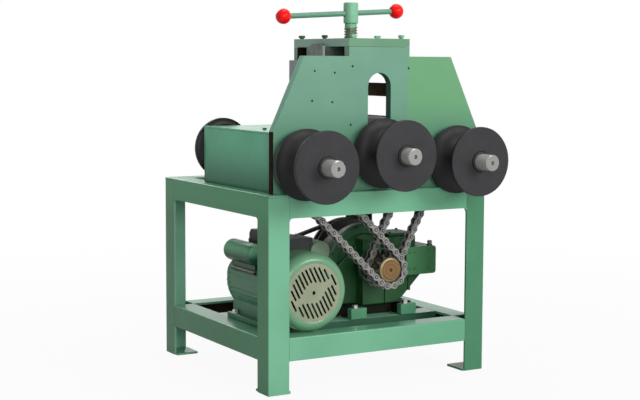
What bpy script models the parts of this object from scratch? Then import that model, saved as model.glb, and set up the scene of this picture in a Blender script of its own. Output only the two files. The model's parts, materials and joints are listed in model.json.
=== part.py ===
# Ring roller: an electric three-roll pipe and section bender on an angle-iron stand.
# Metres, +Z up, +Y away from the rolls. The origin is the middle of the footprint on the floor.
import bpy
import bmesh
from math import asin, cos, pi, radians, sin, sqrt, tau
from mathutils import Matrix, Vector

# Clearances
weldGap = 0.0003
runGap = 0.0003
slideGap = 0.0006
cutOverrun = 0.002
mergeDistance = 0.00001

# Stand
standWidth = 0.555
standDepth = 0.533
standHeight = 0.424
angleWidth = 0.050
angleWall = 0.005
lowerRailTop = 0.120
footWidth = 0.055
footDepth = 0.062
footThick = 0.005
frontBearerY = 0.118
rearBearerY = 0.292

# Head
headSetback = 0.0124
plateThick = 0.020
shaftHoleClearance = 0.004
plateHalfWidth = 0.2597
plateSideHeight = 0.131
shoulderHalfWidth = 0.187
shoulderHeight = 0.2893
columnHalfWidth = 0.077
columnHeight = 0.3095
topPlateThick = 0.018
columnDepth = 0.245
rearPlateThick = 0.016
rearPlateLowHeight = 0.122
sidePlateThick = 0.010
sidePlateBottom = 0.040
sidePlateTop = 0.280
sidePlateRearReach = 0.004
windowFront = 0.045
windowRear = 0.185
lowWindowBottom = 0.156
lowWindowTop = 0.200
highWindowBottom = 0.230
highWindowTop = 0.266
slotWidth = 0.058
slotTop = 0.254
slotBottom = 0.035
nutBlockDepth = 0.082
nutBlockHeight = 0.020
nutBlockProud = 0.010
nutBlockSetback = 0.005
screwBackset = 0.1226

# Box behind the front plate
boxHalfWidth = 0.249
boxHeight = 0.1285
boxGap = 0.010
boxDepth = 0.3255
boxWall = 0.005
boxSheet = 0.004

# Rolls and their shafts
rollSpread = 0.1923
rollHeight = 0.062
middleRollHeight = 0.0803
rollRadius = 0.0758
rollRim = 0.00825
grooveRadius = 0.038
rollBackGap = 0.0188
rollChamferShare = 0.25
shaftRadius = 0.0175
shaftReach = 0.1423
middleShaftReach = 0.132
shaftChamfer = 0.002
collarRadius = 0.0225
collarRecess = 0.008
collarProud = 0.003
centreHoleRadius = 0.003
centreHoleDepth = 0.006
shaftTail = 0.006

# Spare half roll on a spindle behind the box
spareRadius = 0.0694
spareRim = 0.010
spareGroove = 0.014
spareHeight = 0.076
spareGap = 0.002
spindleRadius = 0.0172
spindleProud = 0.008

# Bearings
bearingRadius = 0.036
bearingLength = 0.018

# Roller chain and sprockets
chainPitch = 0.01905
chainRollerRadius = 0.00595
innerHalfGap = 0.0063
linkPlateThick = 0.0019
linkPlateHeight = 0.0165
linkLap = 0.0001
linkRollerBite = 0.0006
driverTeeth = 12
rollTeeth = 13
leftLinks = 50
rightLinks = 42
leftChainY = 0.0536
rightChainY = 0.0906
toothThick = 0.011
toothRise = 0.0042
seatClearance = 0.0008
seatWrapShare = 0.36
toothTipShare = 0.25
rollHubRadius = 0.027
rollHubLength = 0.026
driverHubRadius = 0.0225
driverHubProud = 0.0025

# Carriage and press screw
carriageHeight = 0.108
carriageDrop = 0.0343
carriageCheek = 0.030
carriageTopThick = 0.030
screwRadius = 0.015
screwNeckRadius = 0.009
screwButtonRadius = 0.014
screwButtonThick = 0.006
screwButtonDepth = 0.016
screwCollarRadius = 0.0168
screwCollarHeight = 0.0102
screwCollarRise = 0.024
hubRadius = 0.0165
hubHeight = 0.0464
hubFlare = 0.002
hubPegRadius = 0.008
hubPegHeight = 0.012
barRadius = 0.006
barLeftArm = 0.171
barRightArm = 0.120
barTilt = 3.0
barHubHeight = 0.025
ballRadius = 0.017
ballSeat = 0.012

# Gearbox, placed from the output shaft that the two chains fix
gearboxFront = 0.1376
gearboxDepth = 0.140
gearCaseRadius = 0.088
gearCaseStep = 0.040
outputCapRadius = 0.040
outputCapLength = 0.021
blockLeft = 0.080
blockRight = 0.163
blockTop = 0.039
blockBottom = 0.026
# heights as shares of the output shaft's rise over the bearers
bodyFootShare = 0.214
bodyLiftShare = 0.086
bodyTaperShare = 0.103
bodyTaperRight = 0.072
bodyTaperLeft = 0.076
frontCoverThick = 0.020
frontCoverCorner = 0.008
towerLeft = 0.050
towerRight = 0.128
towerHeight = 0.030
towerSetback = 0.012
towerDepth = 0.080
towerCorner = 0.010
gearFootWidth = 0.042
gearFootSpread = 0.067
gearFootShift = 0.018
gearFootOverhang = 0.024
inputOffsetX = 0.0535
inputOffsetZ = 0.0084

# Belt drive
beltPlaneY = 0.350
pulleyWidth = 0.026
bigPulleyRadius = 0.095
smallPulleyRadius = 0.0398
beltTopWidth = 0.013
beltBottomWidth = 0.0086
beltHeight = 0.008
beltProud = 0.001
grooveFloorGap = 0.002
pulleyWeb = 0.010
pulleyRim = 0.016
pulleyBoss = 0.024

# Motor
motorInset = 0.1208
motorHeight = 0.088
motorBodyRadius = 0.073
finHeight = 0.003
finCount = 32
finShare = 0.4
motorFront = 0.104
motorLength = 0.186
motorShieldLength = 0.022
motorShieldStep = 0.003
motorSpigotLength = 0.012
motorFootSpread = 0.060
motorFootWidth = 0.030
motorFootThick = 0.012
motorShaftRadius = 0.012
motorShaftFront = 0.044
motorShaftLength = 0.322
fanCoverRadius = 0.0865
fanCoverFront = 0.020
fanCoverDepth = 0.082
fanCoverWall = 0.002
fanCoverDome = 0.024
fanFaceRadius = 0.066
fanHubHoleRadius = 0.005
slotReach = 0.056
slotSlitWidth = 0.0042
slotPitch = 0.010
slotSlant = 27.0
# where the slots of one band start, outward from the hub, as shares of their reach
slotStartShares = (0.129, 0.12, 0.205, 0.3, 0.388, 0.388, 0.3, 0.205, 0.12, 0.129)
edgeSlotHalfLength = 0.0137
fanRadius = 0.070
fanHubRadius = 0.020
fanHubLength = 0.022
fanBladeCount = 8
fanBladeThick = 0.003
fanBladeLength = 0.020
fanSetback = 0.024
capacitorRadius = 0.0245
capacitorOffsetX = 0.0634
leftCapacitorRise = 0.068
leftCapacitorStart = 0.052
leftCapacitorLength = 0.130
rightCapacitorRise = 0.0746
rightCapacitorStart = 0.0003
rightCapacitorLength = 0.150
capacitorRound = 0.006
terminalNeck = 0.070
terminalShoulder = 0.094
terminalLength = 0.157
lidWidth = 0.088
lidTop = 0.1075
lidLength = 0.072
terminalRearTop = 0.116
terminalRearLength = 0.064
terminalRearCorner = 0.010
nutArchHeight = 0.010
nutArchWidth = 0.054

# Facets
rollSides = 26
shaftSides = 18
smallSides = 12
arcSteps = 5
seatSteps = 3
rollerSides = 4

# Places that follow from the sizes
frontY = (shaftReach - standDepth) / 2
rearY = frontY + standDepth
plateFrontY = frontY + headSetback
plateBackY = plateFrontY + plateThick
tableZ = standHeight + weldGap
rollZ = tableZ + rollHeight
middleRollZ = tableZ + middleRollHeight
rollBackY = plateFrontY - rollBackGap
rollWidth = 2 * (rollRim + grooveRadius)
rollMidY = rollBackY - rollWidth / 2
shaftFrontY = frontY - shaftReach
columnTopZ = tableZ + columnHeight
topPlateZ = columnTopZ + topPlateThick
columnRearY = plateFrontY + columnDepth
rearPlateFrontY = columnRearY - rearPlateThick
screwY = plateFrontY + screwBackset
boxFrontY = plateBackY + boxGap
boxRearY = boxFrontY + boxDepth
boxTopZ = tableZ + boxHeight
spareZ = tableZ + spareHeight
spareFaceY = boxRearY + weldGap + boxSheet + spareGap
leftPlaneY = plateFrontY + leftChainY
rightPlaneY = plateFrontY + rightChainY
driverPitchRadius = chainPitch / (2 * sin(pi / driverTeeth))
rollPitchRadius = chainPitch / (2 * sin(pi / rollTeeth))

palette = {
    "greenPaint": ((0.19, 0.39, 0.28), 0.45, 0.0),
    "paleGreenPaint": ((0.22, 0.46, 0.31), 0.4, 0.0),
    "darkGreenPaint": ((0.025, 0.12, 0.045), 0.4, 0.0),
    "paleSteel": ((0.42, 0.42, 0.50), 0.45, 0.3),
    "brightSteel": ((0.62, 0.62, 0.62), 0.3, 1.0),
    "darkSteel": ((0.10, 0.10, 0.105), 0.5, 0.8),
    "blackOxide": ((0.02, 0.02, 0.021), 0.45, 0.4),
    "chainSteel": ((0.33, 0.30, 0.29), 0.4, 0.9),
    "brassBrown": ((0.55, 0.33, 0.14), 0.45, 0.7),
    "bronze": ((0.45, 0.27, 0.10), 0.4, 0.9),
    "redPlastic": ((0.80, 0.01, 0.01), 0.25, 0.0),
    "blackPlastic": ((0.03, 0.03, 0.03), 0.5, 0.0),
    "blackRubber": ((0.02, 0.02, 0.02), 0.8, 0.0),
    "greyIron": ((0.25, 0.27, 0.22), 0.5, 0.2),
}

for old in list(bpy.data.objects):
    bpy.data.objects.remove(old, do_unlink=True)
parts = bpy.data.collections.new("ring_roller")
cutters = bpy.data.collections.new("cutters")
bpy.context.scene.collection.children.link(parts)
bpy.context.scene.collection.children.link(cutters)


def setMaterial(obj, paint):
    colour, roughness, metallic = palette[paint]
    material = bpy.data.materials.new(obj.name + "_" + paint)
    material.use_nodes = True
    shader = material.node_tree.nodes["Principled BSDF"]
    shader.inputs["Base Color"].default_value = (*colour, 1)
    shader.inputs["Roughness"].default_value = roughness
    shader.inputs["Metallic"].default_value = metallic
    obj.data.materials.append(material)


def addObject(name, mesh, place=(0, 0, 0), turn=(0, 0, 0)):
    obj = bpy.data.objects.new(name, mesh)
    obj.location = place
    obj.rotation_euler = turn
    parts.objects.link(obj)
    return obj


def addBox(name, low, high, place=(0, 0, 0)):
    """A box between two corners given relative to its place."""
    mesh = bpy.data.meshes.new(name)
    size = [b - a for a, b in zip(low, high)]
    middle = Vector([(a + b) / 2 for a, b in zip(low, high)])
    shape = bmesh.new()
    scaled = Matrix.Translation(middle) @ Matrix.Diagonal((*size, 1))
    bmesh.ops.create_cube(shape, size=1, matrix=scaled)
    shape.to_mesh(mesh)
    shape.free()
    return addObject(name, mesh, place)


def addTurned(name, profile, place, sides, alongY=True):
    """A turned solid: radius and height pairs run down its outer side, round the local Z axis."""
    closed = profile[0][0] > 0
    mesh = bpy.data.meshes.new(name)
    points = [(radius, 0, height) for radius, height in profile]
    edges = [(i, i + 1) for i in range(len(points) - 1)]
    if closed:
        edges.append((len(points) - 1, 0))
    mesh.from_pydata(points, edges, [])
    obj = addObject(name, mesh, place, (-pi / 2 if alongY else 0, 0, 0))
    screw = obj.modifiers.new("turn", "SCREW")
    screw.axis = "Z"
    screw.angle = tau
    screw.steps = sides
    screw.render_steps = sides
    screw.use_merge_vertices = True
    screw.merge_threshold = mergeDistance
    screw.use_smooth_shade = True
    return obj


def addOutline(name, loops, thickness, place, turn):
    """A flat plate: closed loops of points, the first the outline and the rest its holes."""
    curve = bpy.data.curves.new(name, "CURVE")
    curve.dimensions = "2D"
    curve.fill_mode = "BOTH"
    curve.extrude = thickness / 2
    for loop in loops:
        spline = curve.splines.new("POLY")
        spline.points.add(len(loop) - 1)
        for point, (across, up) in zip(spline.points, loop):
            point.co = (across, up, 0, 1)
        spline.use_cyclic_u = True
    return meshFromCurve(name, curve, place, turn)


def meshFromCurve(name, curve, place, turn):
    guide = addObject(name + "_curve", curve)
    bpy.context.view_layer.update()
    evaluated = guide.evaluated_get(bpy.context.evaluated_depsgraph_get())
    mesh = bpy.data.meshes.new_from_object(evaluated)
    shape = bmesh.new()
    shape.from_mesh(mesh)
    bmesh.ops.remove_doubles(shape, verts=shape.verts, dist=mergeDistance)
    bmesh.ops.recalc_face_normals(shape, faces=shape.faces)
    shape.to_mesh(mesh)
    shape.free()
    mesh.name = name
    obj = addObject(name, mesh, place, turn)
    bpy.data.objects.remove(guide, do_unlink=True)
    return obj


facingFront = (pi / 2, 0, 0)
facingSide = (pi / 2, 0, pi / 2)


def makeCutter(obj):
    parts.objects.unlink(obj)
    cutters.objects.link(obj)
    obj.hide_render = True
    obj.display_type = "WIRE"
    return obj


def boolean(obj, other, operation):
    makeCutter(other)
    modifier = obj.modifiers.new(operation.lower(), "BOOLEAN")
    modifier.operation = operation
    modifier.solver = "EXACT"
    modifier.object = other


def cut(obj, other):
    boolean(obj, other, "DIFFERENCE")


def join(obj, other):
    boolean(obj, other, "UNION")


def cutHole(obj, radius, centre, length, sides=shaftSides, alongY=True):
    """A round hole along Y or Z, centred on a point."""
    half = length / 2
    profile = [(0, half), (radius, half), (radius, -half), (0, -half)]
    cut(obj, addTurned(obj.name + "_hole", profile, centre, sides, alongY))


def smooth(obj, angle=32.0):
    obj.data.shade_smooth()
    obj.data.set_sharp_from_angle(angle=radians(angle))


def arc(centre, radius, start, end, steps):
    """Points on an arc, with both ends."""
    angles = [start + (end - start) * i / steps for i in range(steps + 1)]
    return [(centre[0] + radius * cos(a), centre[1] + radius * sin(a)) for a in angles]


def circle(centre, radius, sides):
    return arc(centre, radius, 0, tau * (sides - 1) / sides, sides - 1)


def roundedBox(low, high, corner, steps=2):
    left, bottom = low
    right, top = high
    points = []
    points += arc((right - corner, top - corner), corner, 0, pi / 2, steps)
    points += arc((left + corner, top - corner), corner, pi / 2, pi, steps)
    points += arc((left + corner, bottom + corner), corner, pi, 3 * pi / 2, steps)
    points += arc((right - corner, bottom + corner), corner, 3 * pi / 2, tau, steps)
    return points


def block(low, high):
    return [(low[0], low[1]), (high[0], low[1]), (high[0], high[1]), (low[0], high[1])]


# Stand
def makeLeg(name, side, back):
    """An angle-iron leg with a foot plate welded inside its corner."""
    cornerX = side * standWidth / 2
    cornerY = rearY if back else frontY
    inward = -1 if back else 1
    top = standHeight - angleWall - weldGap
    outline = [
        (0, 0),
        (-side * angleWidth, 0),
        (-side * angleWidth, inward * angleWall),
        (-side * angleWall, inward * angleWall),
        (-side * angleWall, inward * angleWidth),
        (0, inward * angleWidth),
    ]
    leg = addOutline(name, [outline], top, (cornerX, cornerY, top / 2), (0, 0, 0))
    bite = angleWall / 2
    ends = sorted([-side * bite, -side * footWidth])
    depths = sorted([inward * bite, inward * footDepth])
    foot = addBox(
        name + "_foot",
        (ends[0], depths[0], 0),
        (ends[1], depths[1], footThick),
        (cornerX, cornerY, 0),
    )
    join(leg, foot)
    setMaterial(leg, "greenPaint")


def makeTopRail(name, length, place, turn):
    """A mitred angle-iron rail: its flange lies on the legs and its web hangs between them."""
    half = length / 2 - weldGap
    inner = length / 2 - angleWidth - weldGap
    flange = [(-half, 0), (half, 0), (inner, angleWidth), (-inner, angleWidth)]
    middle = (place[0], place[1], standHeight - angleWall / 2)
    rail = addOutline(name, [flange], angleWall, middle, (0, 0, turn))
    web = addBox(
        name + "_web",
        (-inner, 0, -angleWidth),
        (inner, angleWall, -angleWall / 2),
        (place[0], place[1], standHeight),
    )
    web.rotation_euler = (0, 0, turn)
    join(rail, web)
    setMaterial(rail, "greenPaint")


def makeLowRail(name, length, place, turn):
    half = length / 2 - weldGap
    section = [
        (0, 0),
        (angleWidth, 0),
        (angleWidth, -angleWall),
        (angleWall, -angleWall),
        (angleWall, -angleWidth),
        (0, -angleWidth),
    ]
    rail = addOutline(name, [section], 2 * half, (*place, lowerRailTop), (pi / 2, 0, turn + pi / 2))
    setMaterial(rail, "greenPaint")


def makeStand():
    for side, word in ((-1, "left"), (1, "right")):
        makeLeg(f"leg_front_{word}", side, False)
        makeLeg(f"leg_rear_{word}", side, True)
    halfWidth = standWidth / 2
    middleY = (frontY + rearY) / 2
    makeTopRail("top_rail_front", standWidth, (0, frontY), 0)
    makeTopRail("top_rail_rear", standWidth, (0, rearY), pi)
    makeTopRail("top_rail_left", standDepth, (-halfWidth, middleY), -pi / 2)
    makeTopRail("top_rail_right", standDepth, (halfWidth, middleY), pi / 2)
    crossLength = standWidth - 2 * angleWidth
    sideLength = standDepth - 2 * angleWidth
    makeLowRail("lower_rail_front", crossLength, (0, frontY), 0)
    makeLowRail("lower_rail_rear", crossLength, (0, rearY), pi)
    makeLowRail("lower_rail_left", sideLength, (-halfWidth, middleY), -pi / 2)
    makeLowRail("lower_rail_right", sideLength, (halfWidth, middleY), pi / 2)
    makeLowRail("bearer_front", crossLength, (0, frontY + frontBearerY), 0)
    makeLowRail("bearer_rear", crossLength, (0, frontY + rearBearerY), 0)


# Head plates
def makeFrontPlate():
    """The front plate with its sloping shoulders, arched slot and two shaft holes."""
    half = [
        (plateHalfWidth, 0),
        (plateHalfWidth, plateSideHeight),
        (shoulderHalfWidth, shoulderHeight),
        (columnHalfWidth, shoulderHeight),
        (columnHalfWidth, columnHeight),
    ]
    outline = half + [(-x, z) for x, z in reversed(half)]
    slotHalf = slotWidth / 2
    slot = [(-slotHalf, slotBottom), (slotHalf, slotBottom)]
    slot += arc((0, slotTop - slotHalf), slotHalf, 0, pi, arcSteps * 2)
    hole = shaftRadius + shaftHoleClearance
    holes = [circle((side * rollSpread, rollHeight), hole, shaftSides) for side in (-1, 1)]
    place = (0, plateFrontY + plateThick / 2, tableZ)
    plate = addOutline("front_plate", [outline, slot, *holes], plateThick, place, facingFront)
    setMaterial(plate, "greenPaint")


def makeRearPlate():
    """An inverted T: its foot spans the box and carries the shafts, its stem is the column's back."""
    stem = columnHalfWidth
    foot = boxHalfWidth - boxWall - weldGap
    half = [(foot, 0), (foot, rearPlateLowHeight), (stem, rearPlateLowHeight), (stem, columnHeight)]
    outline = half + [(-x, z) for x, z in reversed(half)]
    bore = shaftRadius + runGap
    holes = [circle((side * rollSpread, rollHeight), bore, shaftSides) for side in (-1, 1)]
    place = (0, columnRearY - rearPlateThick / 2, tableZ)
    plate = addOutline("rear_plate", [outline, *holes], rearPlateThick, place, facingFront)
    setMaterial(plate, "greenPaint")


def makeSidePlate(name, side):
    """A column cheek with two windows, stepped over the rear plate's foot."""
    front = plateBackY + weldGap
    rear = columnRearY + sidePlateRearReach
    step = rearPlateFrontY - weldGap
    stepZ = rearPlateLowHeight + weldGap
    outline = [(front, sidePlateBottom), (step, sidePlateBottom), (step, stepZ), (rear, stepZ)]
    outline += [(rear, sidePlateTop), (front, sidePlateTop)]
    loops = [outline]
    windows = ((lowWindowBottom, lowWindowTop), (highWindowBottom, highWindowTop))
    for bottom, top in windows:
        loops.append(block((front + windowFront, bottom), (front + windowRear, top)))
    middleX = side * (columnHalfWidth + weldGap + sidePlateThick / 2)
    plate = addOutline(name, loops, sidePlateThick, (middleX, 0, tableZ), facingSide)
    setMaterial(plate, "paleSteel")


def makeTopPlate():
    plate = addBox(
        "top_plate",
        (-columnHalfWidth, plateFrontY, columnTopZ + weldGap),
        (columnHalfWidth, columnRearY, topPlateZ),
    )
    middle = (0, screwY, (columnTopZ + topPlateZ) / 2)
    cutHole(plate, screwRadius + runGap, middle, topPlateThick + 2 * cutOverrun, alongY=False)
    setMaterial(plate, "greenPaint")


def makeNutBlock():
    """The screw's nut: a steel block under the top plate, its ends proud of the column."""
    halfDepth = nutBlockDepth / 2
    halfLength = columnHalfWidth + nutBlockProud
    topZ = columnTopZ
    middle = topZ - nutBlockHeight / 2
    length = 2 * halfLength
    outline = [(-halfDepth, -nutBlockHeight / 2), (halfDepth, -nutBlockHeight / 2)]
    outline += [(halfDepth, nutBlockHeight / 2), (-halfDepth, nutBlockHeight / 2)]
    nut = addOutline("screw_nut", [outline], length, (0, screwY + nutBlockSetback, middle), facingSide)
    turns = [pi * step / (2 * arcSteps) for step in range(2 * arcSteps + 1)]
    arch = [(nutArchWidth / 2 * cos(a), nutArchHeight * sin(a)) for a in turns]
    reach = nutBlockProud - weldGap
    for side in (-1, 1):
        place = (side * (halfLength - reach / 2), screwY + nutBlockSetback, topZ - cutOverrun)
        base = [(-nutArchWidth / 2, -nutBlockHeight / 2), (nutArchWidth / 2, -nutBlockHeight / 2)]
        join(nut, addOutline("nut_arch", [base + arch], reach, place, facingSide))
    hole = (0, screwY, middle)
    cutHole(nut, screwRadius + runGap, hole, nutBlockHeight + 2 * cutOverrun, alongY=False)
    setMaterial(nut, "darkSteel")


def makeBox():
    """Sheet covers over the lower shafts: two side plates and one sheet bent over top and rear."""
    for side, word in ((-1, "left"), (1, "right")):
        edges = sorted((side * boxHalfWidth, side * (boxHalfWidth - boxWall)))
        cover = addBox(
            f"box_side_{word}",
            (edges[0], boxFrontY, tableZ),
            (edges[1], boxRearY, boxTopZ - boxSheet - weldGap),
        )
        setMaterial(cover, "greenPaint")
    outline = [
        (boxFrontY, boxTopZ),
        (boxFrontY, boxTopZ - boxSheet),
        (boxRearY + weldGap, boxTopZ - boxSheet),
        (boxRearY + weldGap, tableZ),
        (boxRearY + weldGap + boxSheet, tableZ),
        (boxRearY + weldGap + boxSheet, boxTopZ),
    ]
    sheet = addOutline("box_cover", [outline], 2 * boxHalfWidth, (0, 0, 0), facingSide)
    notch = columnHalfWidth + sidePlateThick + 2 * weldGap
    well = addBox(
        "column_well",
        (-notch, boxFrontY - cutOverrun, tableZ),
        (notch, columnRearY + sidePlateRearReach + weldGap, boxTopZ + cutOverrun),
    )
    cut(sheet, well)
    spindleLength = spareRim + spareGroove + spindleProud
    spindle = [
        (0, spindleLength),
        (spindleRadius, spindleLength),
        (spindleRadius, 0),
        (spindleRadius + spareGap, 0),
        (spindleRadius + spareGap, -spareGap - boxSheet / 2),
        (0, -spareGap - boxSheet / 2),
    ]
    join(sheet, addTurned("spindle", spindle, (-rollSpread, spareFaceY - weldGap, spareZ), shaftSides))
    setMaterial(sheet, "greenPaint")


def makeBearing(name, side, front):
    bore = shaftRadius + runGap
    lip = bearingRadius - bore
    profile = [
        (bearingRadius, bearingLength / 2),
        (bearingRadius, 0),
        (bore + lip / 2, 0),
        (bore + lip / 2, -bearingLength / 2),
        (bore, -bearingLength / 2),
        (bore, bearingLength / 2),
    ]
    if front:
        place = (side * rollSpread, plateBackY + weldGap + bearingLength / 2, rollZ)
        profile = [(r, -z) for r, z in reversed(profile)]
    else:
        place = (side * rollSpread, rearPlateFrontY - weldGap - bearingLength / 2, rollZ)
    ring = addTurned(name, profile, place, shaftSides)
    smooth(ring)
    setMaterial(ring, "bronze")


# Rolls
def makeRollHalf(name, place, outward, recess, sizes):
    """Half a roll: a rim and a quarter-round groove, its mid face at the local origin."""
    radius, rim, hollow = sizes
    bore = shaftRadius + runGap
    width = rim + hollow
    faceGap = weldGap / 2
    chamfer = rollChamferShare * rim
    groove = [
        (radius - hollow * cos(a), hollow * sin(a))
        for a in [pi / 2 * i / arcSteps for i in range(arcSteps, -1, -1)]
    ]
    groove[-1] = (groove[-1][0], faceGap)
    profile = [(radius - chamfer, width), (radius, width - chamfer), *groove]
    profile.append((bore, faceGap))
    if recess:
        seat = collarRadius + runGap
        profile += [(bore, width - collarRecess), (seat, width - collarRecess), (seat, width)]
    else:
        profile.append((bore, width))
    if not outward:
        profile = [(r, -z) for r, z in reversed(profile)]
    half = addTurned(name, profile, place, rollSides)
    smooth(half)
    setMaterial(half, "blackOxide")


def makeShaft(name, place, frontReach, length, collarFace):
    """A turned shaft from its front end, with a set collar turned on it and a centre hole."""
    front = -frontReach
    end = length - frontReach
    collarFront = collarFace - collarProud
    collarBack = collarFace + collarRecess - weldGap
    profile = [
        (0, end),
        (shaftRadius - shaftChamfer, end),
        (shaftRadius, end - shaftChamfer),
        (shaftRadius, collarBack),
        (collarRadius, collarBack),
        (collarRadius, collarFront),
        (shaftRadius, collarFront),
        (shaftRadius, front + shaftChamfer),
        (shaftRadius - shaftChamfer, front),
        (centreHoleRadius, front),
        (0, front + centreHoleDepth),
    ]
    shaft = addTurned(name, profile, place, shaftSides)
    smooth(shaft)
    setMaterial(shaft, "brightSteel")


def makeRollSet(word, x, z, frontReach, length):
    axis = (x, rollMidY, z)
    sizes = (rollRadius, rollRim, grooveRadius)
    makeRollHalf(f"{word}_roll_outer", axis, False, True, sizes)
    makeRollHalf(f"{word}_roll_inner", axis, True, False, sizes)
    makeShaft(f"{word}_shaft", axis, frontReach, length, -rollWidth / 2)


# Chain drive
def toothedOutline(teeth, phase):
    """A sprocket's outline: a round seat for each roller and a flat-topped tooth between seats."""
    pitchRadius = chainPitch / (2 * sin(pi / teeth))
    seat = chainRollerRadius + seatClearance
    tip = pitchRadius + toothRise
    tipHalfAngle = toothTipShare * pi / teeth
    points = []
    for tooth in range(teeth):
        middle = phase + tau * tooth / teeth
        centre = (pitchRadius * cos(middle), pitchRadius * sin(middle))
        first = middle + pi + pi * seatWrapShare
        last = middle + pi - pi * seatWrapShare
        points += arc(centre, seat, first, last, seatSteps)
        crest = middle + pi / teeth
        for angle in (crest - tipHalfAngle, crest + tipHalfAngle):
            points.append((tip * cos(angle), tip * sin(angle)))
    return points


def wrapLength(distance, teethA, teethB):
    """Chain length over two sprockets, an arc counting one pitch for each of its teeth."""
    radiusA = chainPitch / (2 * sin(pi / teethA))
    radiusB = chainPitch / (2 * sin(pi / teethB))
    lean = asin((radiusB - radiusA) / distance)
    straight = 2 * sqrt(distance ** 2 - (radiusB - radiusA) ** 2)
    arcs = (teethA * (pi - 2 * lean) + teethB * (pi + 2 * lean)) / tau
    return straight + arcs * chainPitch


def centreDistance(links, teethA, teethB):
    """The distance between two sprockets that takes up a whole number of links."""
    wanted = links * chainPitch
    distance = wanted / 2
    for _ in range(40):
        distance += (wanted - wrapLength(distance, teethA, teethB)) / 2
    return distance


def driverPlace():
    """Where the double sprocket has to sit for both chains to run just taut."""
    leftReach = centreDistance(leftLinks, driverTeeth, rollTeeth)
    rightReach = centreDistance(rightLinks, driverTeeth, rollTeeth)
    span = 2 * rollSpread
    fromLeft = (leftReach ** 2 - rightReach ** 2 + span ** 2) / (2 * span)
    drop = sqrt(leftReach ** 2 - fromLeft ** 2)
    return -rollSpread + fromLeft, rollZ - drop


driverX, driverZ = driverPlace()


def chainPins(rollX, links):
    """Pin places round the driver and a roll sprocket, and both sprockets' phases."""
    rise = Vector((rollX - driverX, rollZ - driverZ))
    distance = rise.length
    heading = Vector((1, 0)).angle_signed(rise) * -1
    lean = asin((rollPitchRadius - driverPitchRadius) / distance)
    run = sqrt(distance ** 2 - (rollPitchRadius - driverPitchRadius) ** 2)
    driverArc = pi - 2 * lean
    rollArc = pi + 2 * lean
    arcPitch = {"driver": tau / driverTeeth, "roll": tau / rollTeeth}
    stretches = [run, chainPitch * rollArc / arcPitch["roll"], run]
    stretches.append(chainPitch * driverArc / arcPitch["driver"])
    step = sum(stretches) / links
    normal = heading - pi / 2 - lean
    leave = Vector((driverX + driverPitchRadius * cos(normal), driverZ + driverPitchRadius * sin(normal)))
    land = Vector((rollX + rollPitchRadius * cos(normal), rollZ + rollPitchRadius * sin(normal)))
    farNormal = heading + pi / 2 + lean
    depart = Vector((rollX + rollPitchRadius * cos(farNormal), rollZ + rollPitchRadius * sin(farNormal)))
    arrive = Vector(
        (driverX + driverPitchRadius * cos(farNormal), driverZ + driverPitchRadius * sin(farNormal))
    )
    pins = []
    phases = {}
    for link in range(links):
        along = link * step
        if along <= stretches[0]:
            pins.append(leave.lerp(land, along / stretches[0]))
            continue
        along -= stretches[0]
        if along <= stretches[1]:
            angle = normal + along / chainPitch * arcPitch["roll"]
            phases.setdefault("roll", angle)
            place = (rollX + rollPitchRadius * cos(angle), rollZ + rollPitchRadius * sin(angle))
            pins.append(Vector(place))
            continue
        along -= stretches[1]
        if along <= stretches[2]:
            pins.append(depart.lerp(arrive, along / stretches[2]))
            continue
        along -= stretches[2]
        angle = farNormal + along / chainPitch * arcPitch["driver"]
        phases.setdefault("driver", angle)
        place = (driverX + driverPitchRadius * cos(angle), driverZ + driverPitchRadius * sin(angle))
        pins.append(Vector(place))
    return pins, phases


leftPins, leftPhases = chainPins(-rollSpread, leftLinks)
rightPins, rightPhases = chainPins(rollSpread, rightLinks)


def addPrism(shape, points, low, high):
    """A prism in a bmesh: an outline in X and Z, drawn out along Y."""
    lower = [shape.verts.new((x, low, z)) for x, z in points]
    face = shape.faces.new(lower)
    drawn = bmesh.ops.extrude_face_region(shape, geom=[face])
    moved = [v for v in drawn["geom"] if isinstance(v, bmesh.types.BMVert)]
    bmesh.ops.translate(shape, verts=moved, vec=(0, high - low, 0))


def linkOutline(start, end):
    """A link plate seen square on: a bar with chamfered ends round two pins."""
    along = (end - start).normalized()
    across = Vector((-along.y, along.x))
    half = linkPlateHeight / 2
    points = []
    for centre, forward, side in ((end, along, across), (start, -along, -across)):
        points.append(centre - side * half)
        points.append(centre + forward * half)
        points.append(centre + side * half)
    return [(point.x, point.y) for point in points]


def makeChain(name, pins, planeY):
    """Roller chain: narrow and wide links in turn, lapped at the pins, with a roller at each."""
    plates = bmesh.new()
    rollers = bmesh.new()
    for index, start in enumerate(pins):
        end = pins[(index + 1) % len(pins)]
        near = innerHalfGap
        if index % 2:
            near += linkPlateThick - linkLap
        far = near + linkPlateThick
        outline = linkOutline(start, end)
        addPrism(plates, outline, near, far)
        addPrism(plates, outline, -far, -near)
        reach = innerHalfGap + linkRollerBite
        spin = Vector((1, 0)).angle_signed(end - start) * -1
        turn = Matrix.Rotation(spin, 2)
        ring = [turn @ Vector(point) for point in circle((0, 0), chainRollerRadius, rollerSides)]
        addPrism(rollers, [(start.x + x, start.y + z) for x, z in ring], -reach, reach)
    bmesh.ops.recalc_face_normals(plates, faces=plates.faces)
    bmesh.ops.recalc_face_normals(rollers, faces=rollers.faces)
    plateMesh = bpy.data.meshes.new(name)
    rollerMesh = bpy.data.meshes.new(name + "_rollers")
    plates.to_mesh(plateMesh)
    rollers.to_mesh(rollerMesh)
    plates.free()
    rollers.free()
    chain = addObject(name, plateMesh, (0, planeY, 0))
    rollerSet = addObject(name + "_rollers", rollerMesh, (0, planeY, 0))
    join(chain, rollerSet)
    chain.modifiers[-1].use_self = True
    setMaterial(chain, "chainSteel")


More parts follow.
